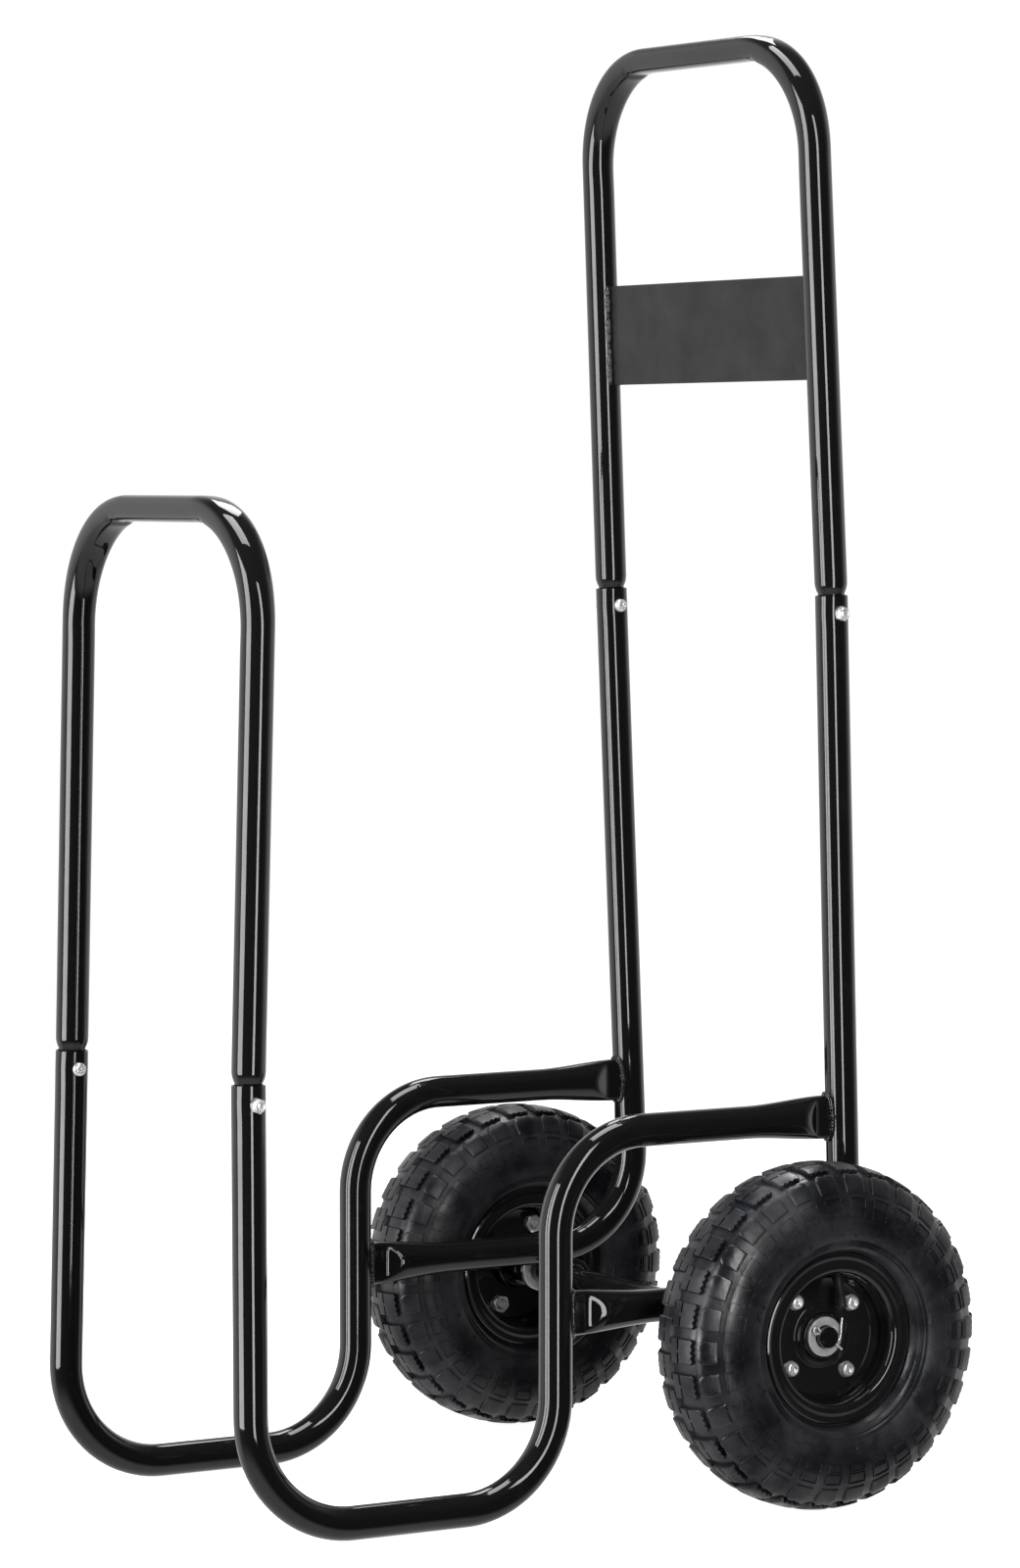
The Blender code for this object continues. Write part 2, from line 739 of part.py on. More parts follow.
wheel_parents = {}
for side, sx, phase, valve_angle in (
    ("left", 1, LEFT_PHASE, VALVE_ANGLE_LEFT),
    ("right", -1, RIGHT_PHASE, VALVE_ANGLE_RIGHT),
):
    centre = Vector((sx * WHEEL_X, AXLE_Y_ABS, AXLE_Z))
    pivot = bpy.data.objects.new("wheel_" + side + "_axis", None)
    pivot.location = centre
    parts.objects.link(pivot)
    made = []
    made.append(turned("tyre_" + side, tyre_profile(), WHEEL_STEPS, centre, sx, RUBBER, 0.75))
    inflated = turned("inner_tube_" + side, tube_profile(), 20, centre, sx, RUBBER, 0.8)
    shell = inflated.modifiers.new("wall", "SOLIDIFY")
    shell.thickness = INNER_TUBE_WALL
    shell.offset = -1.0
    made.append(inflated)
    made.append(turned("rim_outer_" + side, rim_profile(RIM_OFFSET, 0.0020), 20, centre, sx, PAINT, 0.22))
    made.append(turned("rim_inner_" + side, rim_profile(-RIM_OFFSET, 0.0004), 20, centre, -sx, PAINT, 0.22))
    made.append(turned("hub_" + side, hub_profile(), 20, centre, sx, PAINT, 0.3))
    for place, low in (
        ("outer", HUB_OUT - BEARING_W - GAP),
        ("inner", HUB_IN + GAP),
    ):
        made.append(
            turned(
                "bearing_%s_%s" % (place, side),
                ring(low, low + BEARING_W, AXLE_R + GAP, BEARING_R),
                20, centre, sx, STEEL, 0.3, 0.9,
            )
        )
    rim_outer, rim_inner = made[2], made[3]
    seat = GAP / 2 + RIM_T + GAP
    for k in range(4):
        a = math.radians(phase + 90 * k)
        y = centre.y + BOLT_CIRCLE * math.cos(a)
        z = centre.z + BOLT_CIRCLE * math.sin(a)
        made.append(
            fastener(
                "wheel_bolt_%s_%d" % (side, k + 1),
                (centre.x + sx * (RIM_OFFSET + seat), y, z),
                (-sx, 0, 0),
                0.0059, 0.0044, 0.0018, WHEEL_BOLT_R - GAP, 2 * seat + 0.0082,
            )
        )
        made.append(
            hex_nut(
                "wheel_nut_%s_%d" % (side, k + 1),
                (centre.x + sx * (RIM_OFFSET - seat), y, z),
                (-sx, 0, 0),
                0.0130, 0.0065, WHEEL_BOLT_R, math.radians(10 + 17 * k),
            )
        )
        hole = rod_cutter(
            "wheel_bolt_hole_%s_%d" % (side, k + 1),
            (centre.x + sx * RIM_OFFSET, y, z), (1, 0, 0), WHEEL_BOLT_R + GAP, 0.012, 8,
        )
        cut(rim_outer, hole, "bolt_hole_%d" % (k + 1))
        cut(rim_inner, hole, "bolt_hole_%d" % (k + 1))

    # Valve: leans outboard from the rim well, through the outer rim's shoulder.
    a = math.radians(valve_angle)
    radial = Vector((0, math.cos(a), math.sin(a)))
    out = Vector((sx, 0, 0))
    root = centre + radial * 0.0555 + out * 0.0070
    tip = centre + radial * 0.0235 + out * 0.0265
    way = (tip - root).normalized()
    valve = fastener(
        "valve_stem_" + side, tuple(root), tuple(way),
        0.0050, 0.0012, 0.0004, 0.0038, (tip - root).length,
    )
    valve.data.materials.clear()
    valve.data.materials.append(material("valve_stem_%s_rubber" % side, RUBBER, 0.6))
    made.append(valve)
    hole = rod_cutter(
        "valve_hole_" + side, root + way * 0.0090, tuple(way), 0.0038 + GAP, 0.0170, 8
    )
    cut(rim_outer, hole, "valve_hole")
    cut(
        inflated,
        rod_cutter(
            "air_hole_" + side,
            centre + radial * 0.0600 + out * 0.0050,
            tuple(radial),
            INNER_TUBE_AIR_R,
            0.012,
            8,
        ),
        "air_hole",
    )
    wheel_parents[side] = pivot
    bpy.context.view_layer.update()
    for piece in made:
        place_now = piece.matrix_world.copy()
        piece.parent = pivot
        piece.matrix_world = place_now
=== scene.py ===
import math

import bmesh
import bpy
import numpy as np
from mathutils import Matrix, Vector, noise


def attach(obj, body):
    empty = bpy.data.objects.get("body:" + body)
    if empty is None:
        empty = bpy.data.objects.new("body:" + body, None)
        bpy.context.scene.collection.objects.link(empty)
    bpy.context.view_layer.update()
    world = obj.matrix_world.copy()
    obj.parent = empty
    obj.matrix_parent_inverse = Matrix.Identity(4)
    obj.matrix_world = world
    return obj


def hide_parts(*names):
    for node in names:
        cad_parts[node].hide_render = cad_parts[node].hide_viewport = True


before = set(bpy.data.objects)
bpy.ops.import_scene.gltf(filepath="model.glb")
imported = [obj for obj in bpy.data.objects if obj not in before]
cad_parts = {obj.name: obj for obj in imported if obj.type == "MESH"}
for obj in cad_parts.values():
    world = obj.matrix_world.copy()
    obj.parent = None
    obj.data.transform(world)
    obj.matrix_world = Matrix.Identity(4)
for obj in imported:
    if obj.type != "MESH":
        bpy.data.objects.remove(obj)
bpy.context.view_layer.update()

# ------------------------------------------------------------------ dimensions
GAP = 0.0003
TUBE_R = 0.0125
SWAGE_LEN = 0.034
GROOVE = 0.0018
Y0 = -0.0249
HALF = 0.1510
TOE = 0.0095
FRONT_FLARE = 0.0015
SPLAY = 0.0062
HANDLE_FLARE = -0.0035
FRONT_Y = -0.25572
FRONT_LEAN = 0.0108
FRONT_HOOP_LEAN = 0.0245
HANDLE_Y = 0.2595
HANDLE_LEAN = 0.0350
HANDLE_HOOP_LEAN = 0.0432
CRADLE_TOP_Z = 0.2835
LOWER_Z = 0.1510
FRONT_JOINT_Z = 0.3350
HANDLE_JOINT_Z = 0.6805
FRONT_TOP_Z = 0.7470
HANDLE_TOP_Z = 1.0975
BOLT_DROP = 0.0135
R_FRONT_BOTTOM = 0.0820
R_REAR_BOTTOM = 0.0770
R_CRADLE_TOP = 0.0750
R_LOWER = 0.0750
R_FRONT_HOOP = 0.0850
R_HANDLE_HOOP = 0.0810
BAR_HALF = 0.0100
PLATE_Z0 = 0.8435
PLATE_Z1 = 0.9225
PLATE_T = 0.0020
AXLE_R = 0.0080
AXLE_Y = Y0 + 0.1870
AXLE_Z = 0.1300
WHEEL_X = 0.2195
AXLE_END = 0.0185
PIN_X = 0.0146
TYRE_R = 0.1300
BOLT_CIRCLE = 0.0354
RIM_OFFSET = 0.0030
LEFT_PHASE = 40.2
RIGHT_PHASE = 64.0
VALVE_LEFT = 78.0
VALVE_RIGHT = 110.0

front_jy = Y0 + FRONT_Y + FRONT_LEAN * FRONT_JOINT_Z
handle_jy = Y0 + HANDLE_Y - HANDLE_LEAN * (HANDLE_JOINT_Z - LOWER_Z)
FRONT_TAPER = TOE / (FRONT_JOINT_Z - TUBE_R)
HANDLE_TAPER = -SPLAY / (HANDLE_JOINT_Z - LOWER_Z)
HANDLE_HALF = HALF + SPLAY


def handle_axis(z):
    return Y0 + HANDLE_Y - HANDLE_LEAN * (z - LOWER_Z)


# ------------------------------------------------------------------ materials
def nodes_of(name):
    mat = bpy.data.materials.new(name)
    mat.use_nodes = True
    nt = mat.node_tree
    return mat, nt, nt.nodes["Principled BSDF"]


def add(nt, kind, **values):
    node = nt.nodes.new(kind)
    for key, value in values.items():
        if key in node.inputs.keys():
            node.inputs[key].default_value = value
        else:
            setattr(node, key, value)
    return node


def noise_tex(nt, scale, detail=3.0, rough=0.55, vector=None):
    tex = add(nt, "ShaderNodeTexNoise", Scale=scale, Detail=detail, Roughness=rough)
    coord = vector or add(nt, "ShaderNodeTexCoord").outputs["Object"]
    nt.links.new(coord, tex.inputs["Vector"])
    return tex.outputs["Fac"]


def ramp(nt, fac, stops):
    node = nt.nodes.new("ShaderNodeValToRGB")
    band = node.color_ramp
    while len(band.elements) > 1:
        band.elements.remove(band.elements[-1])
    band.elements[0].position = stops[0][0]
    band.elements[0].color = (*stops[0][1], 1.0)
    for pos, col in stops[1:]:
        el = band.elements.new(pos)
        el.color = (*col, 1.0)
    nt.links.new(fac, node.inputs["Fac"])
    return node.outputs["Color"]


def spread(nt, fac, low, high, from_low=0.3, from_high=0.7):
    node = add(nt, "ShaderNodeMapRange")
    node.inputs["From Min"].default_value = from_low
    node.inputs["From Max"].default_value = from_high
    node.inputs["To Min"].default_value = low
    node.inputs["To Max"].default_value = high
    nt.links.new(fac, node.inputs["Value"])
    return node.outputs["Result"]


def bump(nt, height, strength, distance, normal=None):
    node = add(nt, "ShaderNodeBump", Strength=strength, Distance=distance)
    nt.links.new(height, node.inputs["Height"])
    if normal is not None:
        nt.links.new(normal, node.inputs["Normal"])
    return node.outputs["Normal"]


def gloss_paint(
    name, base=0.0060, rough=(0.025, 0.070), wave=0.35, peel=0.10, ior=1.50, tint=(1.0, 1.0, 1.05), slow=30.0,
    shine=(0.46, 0.54),
):
    """Gloss black enamel: orange peel, slow waviness and a little dust."""
    mat, nt, sh = nodes_of(name)
    dust = noise_tex(nt, 38.0, 6.0, 0.7)
    nt.links.new(
        ramp(
            nt,
            dust,
            [
                (0.0, tuple(base * t for t in tint)),
                (0.60, tuple(base * 1.1 * t for t in tint)),
                (0.82, tuple(base * 2.2 * t for t in tint)),
            ],
        ),
        sh.inputs["Base Color"],
    )
    nt.links.new(spread(nt, noise_tex(nt, 14.0, 4.0), *rough), sh.inputs["Roughness"])
    uneven = bump(nt, noise_tex(nt, slow, 2.0), wave, 0.0004 * 30.0 / slow)
    fine = bump(nt, noise_tex(nt, 700.0, 2.0), peel, 0.0001, uneven)
    nt.links.new(fine, sh.inputs["Normal"])
    sh.inputs["IOR"].default_value = ior
    nt.links.new(spread(nt, noise_tex(nt, 24.0, 5.0, 0.68), *shine), sh.inputs["Specular IOR Level"])
    return mat


def rubber(name, base=(0.0062, 0.0066, 0.0090), rough=(0.24, 0.56), grain=0.35, ior=1.47):
    """Moulded rubber: bloom in patches, fine grain, scuffs."""
    mat, nt, sh = nodes_of(name)
    bloom = noise_tex(nt, 16.0, 6.0, 0.65)
    b = base
    nt.links.new(
        ramp(
            nt,
            bloom,
            [
                (0.30, (b[0] * 0.70, b[1] * 0.70, b[2] * 0.72)),
                (0.52, b),
                (0.75, (b[0] * 1.75, b[1] * 1.78, b[2] * 1.95)),
            ],
        ),
        sh.inputs["Base Color"],
    )
    nt.links.new(spread(nt, noise_tex(nt, 30.0, 5.0), *rough, 0.36, 0.64), sh.inputs["Roughness"])
    sway = bump(nt, noise_tex(nt, 26.0, 3.0), 0.50, 0.0016)
    broad = bump(nt, noise_tex(nt, 110.0, 4.0), 0.34, 0.0006, sway)
    fine = bump(nt, noise_tex(nt, 900.0, 3.0), grain, 0.00015, broad)
    nt.links.new(fine, sh.inputs["Normal"])
    sh.inputs["IOR"].default_value = ior
    nt.links.new(spread(nt, noise_tex(nt, 19.0, 6.0, 0.66), 0.22, 0.92, 0.34, 0.68), sh.inputs["Specular IOR Level"])
    return mat


def metal(name, base=(0.72, 0.73, 0.75), rough=(0.22, 0.40), scratch=0.25, metallic=1.0):
    """Zinc plate: cloudy tone, fine scratches, dull spots."""
    mat, nt, sh = nodes_of(name)
    cloud = noise_tex(nt, 160.0, 5.0, 0.6)
    nt.links.new(
        ramp(
            nt,
            cloud,
            [
                (0.25, tuple(c * 0.72 for c in base)),
                (0.55, base),
                (0.85, tuple(min(1.0, c * 1.12) for c in base)),
            ],
        ),
        sh.inputs["Base Color"],
    )
    nt.links.new(spread(nt, noise_tex(nt, 240.0, 4.0), *rough), sh.inputs["Roughness"])
    nt.links.new(bump(nt, noise_tex(nt, 1500.0, 3.0), scratch, 0.0001), sh.inputs["Normal"])
    sh.inputs["Metallic"].default_value = metallic
    return mat


PAINT = gloss_paint("frame_gloss_black")
PLATE = gloss_paint("plate_black", base=0.0085, rough=(0.13, 0.27), wave=0.85, peel=0.45, ior=1.355, tint=(1.06, 1.0, 1.12), slow=9.0, shine=(0.30, 0.56))
WELD = gloss_paint("weld_black", base=0.010, rough=(0.08, 0.20), wave=0.8, peel=0.5)
RIM = gloss_paint("rim_gloss_black", base=0.0085, rough=(0.04, 0.10), wave=0.30, peel=0.10)
TYRE = rubber("tyre_rubber_black")
TUBE = rubber("inner_tube_black", base=(0.014, 0.014, 0.015), rough=(0.5, 0.7))
VALVE = rubber("valve_black", base=(0.012, 0.012, 0.012), rough=(0.40, 0.55), grain=0.15)
ZINC = metal("zinc_bright", base=(0.88, 0.89, 0.90), rough=(0.20, 0.36), metallic=0.66)
WASHER = metal("washer_zinc", base=(0.62, 0.63, 0.64), rough=(0.38, 0.56), scratch=0.35, metallic=0.55)
STEEL = metal("bearing_steel", base=(0.42, 0.42, 0.44), rough=(0.25, 0.4))


# ------------------------------------------------------------------ mesh tools
def make(name, verts, faces, mat, body, replaced=(), angle=38.0):
    mesh = bpy.data.meshes.new(name)
    mesh.from_pydata([tuple(map(float, v)) for v in verts], [], [tuple(map(int, f)) for f in faces])
    mesh.validate()
    mesh.update()
    bm = bmesh.new()
    bm.from_mesh(mesh)
    bmesh.ops.recalc_face_normals(bm, faces=bm.faces)
    bm.to_mesh(mesh)
    bm.free()
    mesh.shade_smooth()
    mesh.set_sharp_from_angle(angle=math.radians(angle))
    mesh.materials.append(mat)
    obj = bpy.data.objects.new(name, mesh)
    bpy.context.scene.collection.objects.link(obj)
    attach(obj, body)
    if replaced:
        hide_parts(*replaced)
    return obj


class Build:
    """Collects several closed shells into one mesh."""

    def __init__(self):
        self.v, self.f = [], []

    def put(self, verts, faces):
        base = len(self.v)
        self.v.extend(map(tuple, verts))
        self.f.extend(tuple(base + i for i in f) for f in faces)


def fillet(corners, radii, steps=24):
    pts = [Vector(corners[0])]
    for i in range(1, len(corners) - 1):
        before, here, after = (Vector(corners[j]) for j in (i - 1, i, i + 1))
        radius = radii[i - 1]
        if radius <= 0:
            pts.append(here)
            continue
        u = (before - here).normalized()
        v = (after - here).normalized()
        half = u.angle(v) / 2
        cut = radius / math.tan(half)
        centre = here + (u + v).normalized() * (radius / math.sin(half))
        start = here + u * cut - centre
        end = here + v * cut - centre
        sweep = start.angle(end)
        axis = start.cross(end).normalized()
        for k in range(steps + 1):
            pts.append(centre + Matrix.Rotation(sweep * k / steps, 3, axis) @ start)
    pts.append(Vector(corners[-1]))
    return pts


def resample(pts, spacing):
    """Even spacing along the polyline; returns points and their distance."""
    p = np.array([tuple(v) for v in pts], float)
    seg = np.linalg.norm(np.diff(p, axis=0), axis=1)
    s = np.concatenate([[0], np.cumsum(seg)])
    n = max(2, int(round(s[-1] / spacing)))
    at = np.linspace(0, s[-1], n + 1)
    out = np.stack([np.interp(at, s, p[:, k]) for k in range(3)], 1)
    return out, at


def smooth(t):
    t = np.clip(t, 0.0, 1.0)
    return t * t * (3 - 2 * t)


def frames(path, flat_normal):
    """Tangent, in-plane normal and binormal at each point of a plane path."""
    t = np.gradient(path, axis=0)
    t /= np.linalg.norm(t, axis=1, keepdims=True)
    b = np.array(flat_normal, float)[None, :] - t * (t @ np.array(flat_normal, float))[:, None]
    b /= np.linalg.norm(b, axis=1, keepdims=True)
    n = np.cross(b, t)
    return t, n, b


def skin(path, n, b, sections, cap=(True, True)):
    """Faces between rings; sections is (rings, sides, 2) along n and b."""
    rings, sides = sections.shape[:2]
    v = (
        path[:, None, :]
        + sections[:, :, :1] * n[:, None, :]
        + sections[:, :, 1:] * b[:, None, :]
    ).reshape(-1, 3)
    f = []
    for i in range(rings - 1):
        for j in range(sides):
            k = (j + 1) % sides
            f.append((i * sides + j, i * sides + k, (i + 1) * sides + k, (i + 1) * sides + j))
    if cap[0]:
        f.append(tuple(range(sides))[::-1])
    if cap[1]:
        f.append(tuple((rings - 1) * sides + j for j in range(sides)))
    return v, f


SIDES = 40
ANG = np.linspace(0, 2 * math.pi, SIDES, endpoint=False)


def revolve(profile, steps, centre, sign=1, closed=True):
    """Turns (radius, outboard) points about the X axis through centre."""
    a = np.linspace(0, 2 * math.pi, steps, endpoint=False)
    prof = np.array(profile, float)
    v = np.zeros((steps, len(prof), 3))
    v[:, :, 0] = centre[0] + sign * prof[None, :, 1]
    v[:, :, 1] = centre[1] + prof[None, :, 0] * np.cos(a)[:, None]
    v[:, :, 2] = centre[2] + prof[None, :, 0] * np.sin(a)[:, None]
    m = len(prof)
    f = []
    for i in range(steps):
        k = (i + 1) % steps
        for j in range(m if closed else m - 1):
            q = (j + 1) % m
            f.append((i * m + j, k * m + j, k * m + q, i * m + q))
    return v.reshape(-1, 3), f


def round_corners(profile, radii, steps=4):
    """Rounds a closed outline of (r, z) points; a radius per point."""
    out = []
    n = len(profile)
    for i in range(n):
        r = radii[i] if isinstance(radii, (list, tuple)) else radii
        here = np.array(profile[i], float)
        u = np.array(profile[i - 1], float) - here
        w = np.array(profile[(i + 1) % n], float) - here
        lu, lw = np.linalg.norm(u), np.linalg.norm(w)
        if r <= 0 or lu < 1e-9 or lw < 1e-9:
            out.append(tuple(here))
            continue
        u, w = u / lu, w / lw
        half = math.acos(max(-1.0, min(1.0, float(u @ w)))) / 2
        if half > math.radians(87):
            out.append(tuple(here))
            continue
        cut = min(r / math.tan(half), lu * 0.48, lw * 0.48)
        a, b = here + u * cut, here + w * cut
        for k in range(steps + 1):
            t = k / steps
            out.append(tuple((1 - t) ** 2 * a + 2 * t * (1 - t) * here + t * t * b))
    return out


def turn_piece(name, profile, radii, centre, sign, mat, body, replaced, steps=96, angle=38.0):
    v, f = revolve(round_corners(profile, radii), steps, centre, sign)
    return make(name, v, f, mat, body, replaced, angle)


# ------------------------------------------------------------------ side tubes
def press_end(s, p, q, half_w=0.0056, tall=0.0168):
    """Section points near a pressed tube end; s is the distance from it."""
    grow = smooth((0.078 - s) / 0.072)
    p = p * (1 + grow * (tall / TUBE_R - 1))
    rise = float(np.clip((s - 0.0165) / 0.0160, 0.0, 1.0))
    die = half_w + (TUBE_R * 1.02 - half_w) * (0.9 * rise + 0.1 * smooth(rise))
    lim = np.broadcast_to(die, q.shape)
    k = 0.0008
    mag = np.abs(q)
    soft = -k * np.log(np.exp(-np.minimum(mag, 0.05) / k) + np.exp(-lim / k))
    soft = np.where(mag < lim - 4 * k, mag, np.maximum(soft, 0))
    narrow = 1 - 0.10 * smooth((0.060 - s) / 0.030)
    return p, np.sign(q) * np.minimum(soft, mag) * np.where(mag * 0 + s < 0.06, 1, 1) * narrow ** 0


def tube_sections(at, ends, mouth):
    """Rings of a side tube: socket mouth at the start, pressed end last."""
    n = len(at)
    sec = np.zeros((n, SIDES, 2))
    length = at[-1]
    for i, d in enumerate(at):
        r = TUBE_R
        p, q = r * np.cos(ANG), r * np.sin(ANG)
        if ends:
            p, q = press_end(np.array(length - d), p, q)
        sec[i, :, 0], sec[i, :, 1] = p, q
    return sec


def side_tube(name, path, plane, node, seam):
    pts, at = resample(path, 0.0028)
    t, n, b = frames(pts, plane)
    sec = tube_sections(at, True, True)
    # bolt squeeze
    drop = BOLT_DROP
    for i, d in enumerate(at):
        pinch = math.exp(-(((d - drop) / 0.0075) ** 2))
        sec[i, :, 1] *= 1 - 0.020 * pinch
        sec[i, :, 0] *= 1 + 0.012 * pinch
    v, f = skin(pts, n, b, sec, cap=(False, True))
    # socket mouth: rounded lip and the bore behind it
    lip = []
    for r, back in ((TUBE_R - 0.0002, -0.0000), (TUBE_R - 0.0007, -0.0003), (TUBE_R - 0.0012, -0.0002), (TUBE_R - 0.0015, 0.0006), (TUBE_R - 0.0015, 0.0300)):
        base = pts[0] + t[0] * back
        ring = base[None, :] + r * np.cos(ANG)[:, None] * n[0] + r * np.sin(ANG)[:, None] * b[0]
        lip.append(ring)
    v = np.concatenate([v] + lip)
    start = len(pts) * SIDES
    prev = list(range(SIDES))
    for k in range(len(lip)):
        now = [start + k * SIDES + j for j in range(SIDES)]
        for j in range(SIDES):
            q = (j + 1) % SIDES
            f.append((prev[q], prev[j], now[j], now[q]))
        prev = now
    f.append(tuple(prev))
    return make(name, v, f, PAINT, "frame", (node,), 32.0)


for side, sx in (("left", 1), ("right", -1)):
    x = sx * HALF
    xt = sx * (HALF - TOE)
    rail_end = handle_axis(CRADLE_TOP_Z)
    cradle = fillet(
        [
            (xt, front_jy, FRONT_JOINT_Z),
            (x, Y0 + FRONT_Y + FRONT_LEAN * TUBE_R, TUBE_R),
            (x, Y0, TUBE_R),
            (x, Y0, CRADLE_TOP_Z),
            (x, rail_end - TUBE_R * 0.62, CRADLE_TOP_Z),
        ],
        [R_FRONT_BOTTOM, R_REAR_BOTTOM, R_CRADLE_TOP],
    )
    side_tube("cradle_tube_%s_vis" % side, cradle, (1, 0, 0), "cradle_tube_" + side, 0)
    lower = fillet(
        [
            (sx * HANDLE_HALF, handle_jy, HANDLE_JOINT_Z),
            (x, Y0 + HANDLE_Y, LOWER_Z),
            (x, Y0 + TUBE_R * 0.62, LOWER_Z),
        ],
        [R_LOWER],
    )
    side_tube("lower_handle_tube_%s_vis" % side, lower, (1, 0, 0), "lower_handle_tube_" + side, 1)


# ------------------------------------------------------------------ hoops
def hoop(name, node, half, top_half, jy, jz, socket_lean, lean, top_z, taper, bend_r):
    top_y = jy + lean * (top_z - jz)
    start = jz + GROOVE
    corners = [
        (-half, jy + lean * GROOVE, start),
        (-top_half, top_y, top_z),
        (top_half, top_y, top_z),
        (half, jy + lean * GROOVE, start),
    ]
    path = fillet(corners, [bend_r, bend_r], 40)
    pts, at = resample(path, 0.0026)
    plane = Vector((0, 1, -lean)).normalized()
    t, n, b = frames(pts, tuple(plane))
    length = at[-1]
    leg = (top_z - jz - GROOVE) - bend_r
    arc = bend_r * math.pi / 2
    sec = np.zeros((len(pts), SIDES, 2))
    for i, d in enumerate(at):
        s = min(d, length - d)
        # rounded shoulder above the socket
        r = TUBE_R
        if s < 0.0085:
            r = TUBE_R - 0.0022 * (1 - math.sin(math.pi / 2 * min(1.0, s / 0.0085)) ** 0.8)
        w = float(smooth(np.array((s - leg + 0.004) / (arc * 0.80))))
        p_half = r + (BAR_HALF - r) * w
        q_half = r + (0.0136 - r) * w
        e = 2.0 / (2.0 + 0.9 * w)
        c, sn = np.cos(ANG), np.sin(ANG)
        p = p_half * np.sign(c) * np.abs(c) ** e
        q = q_half * np.sign(sn) * np.abs(sn) ** e
        # pinch on the inner side where the bend meets the pressed bar
        end_of_bend = s - (leg + arc)
        edge = (end_of_bend + 0.013) / 0.0016
        step = 1 / (1 + math.exp(-max(-30.0, min(30.0, edge))))
        pinch = math.exp(-(((end_of_bend + 0.0165) / 0.0036) ** 2))
        inner = np.clip(c * INSIDE, 0, 1)
        p = p - INSIDE * (0.0021 * pinch - 0.0007 * (1 - step) * w) * inner
        squeeze = math.exp(-(((s - leg + 0.002) / 0.010) ** 2))
        p = p - INSIDE * 0.0005 * squeeze * inner
        sec[i, :, 0], sec[i, :, 1] = p, q
    v, f = skin(pts, n, b, sec, cap=(False, False))
    v = [tuple(a) for a in v]
    rings = len(pts)
    # neck and swaged plug below each shoulder
    for end, ring0, direction in ((0, 0, -1), (1, rings - 1, 1)):
        sx = -1 if end == 0 else 1
        prev = [ring0 * SIDES + j for j in range(SIDES)]
        for r, down in ((0.0101, GROOVE - 0.0002), (0.0100, GROOVE + 0.004), (0.0100, GROOVE + SWAGE_LEN)):
            z = start - down
            if down > GROOVE:
                below = down - GROOVE
                cx = sx * (half + taper * below)
                cy = jy - socket_lean * below
            else:
                cx, cy = sx * half, jy
            now = []
            for j in range(SIDES):
                off = r * math.cos(ANG[j]) * n[ring0] + r * math.sin(ANG[j]) * b[ring0]
                now.append(len(v))
                v.append((cx + off[0], cy + off[1], z + off[2]))
            for j in range(SIDES):
                q = (j + 1) % SIDES
                f.append((prev[j], prev[q], now[q], now[j]))
            prev = now
        f.append(tuple(prev))
    return make(name, v, f, PAINT, "frame", (node,), 40.0)


INSIDE = 1
# the in-plane normal points to the hoop's inside when the path turns that way
_test = fillet([(-1, 0, 0), (-1, 0, 1), (1, 0, 1), (1, 0, 0)], [0.3, 0.3])
_p, _ = resample(_test, 0.05)
_t, _n, _b = frames(_p, (0, 1, 0))
INSIDE = 1 if _n[0][0] > 0 else -1

hoop("front_hoop_vis", "front_hoop", HALF - TOE, HALF - TOE + FRONT_FLARE, front_jy, FRONT_JOINT_Z, FRONT_LEAN, FRONT_HOOP_LEAN, FRONT_TOP_Z, FRONT_TAPER, R_FRONT_HOOP)
hoop("handle_hoop_vis", "handle_hoop", HANDLE_HALF, HANDLE_HALF + HANDLE_FLARE, handle_jy, HANDLE_JOINT_Z, -HANDLE_LEAN, -HANDLE_HOOP_LEAN, HANDLE_TOP_Z, HANDLE_TAPER, R_HANDLE_HOOP)


def handle_leg_x(z):
    """Half distance between the handle hoop's legs at a height."""
    return HANDLE_HALF + HANDLE_FLARE * (z - HANDLE_JOINT_Z) / (HANDLE_TOP_Z - HANDLE_JOINT_Z)


def upright_x(z):
    """Half distance between the handle uprights below the joint."""
    return HALF - HANDLE_TAPER * (z - LOWER_Z)


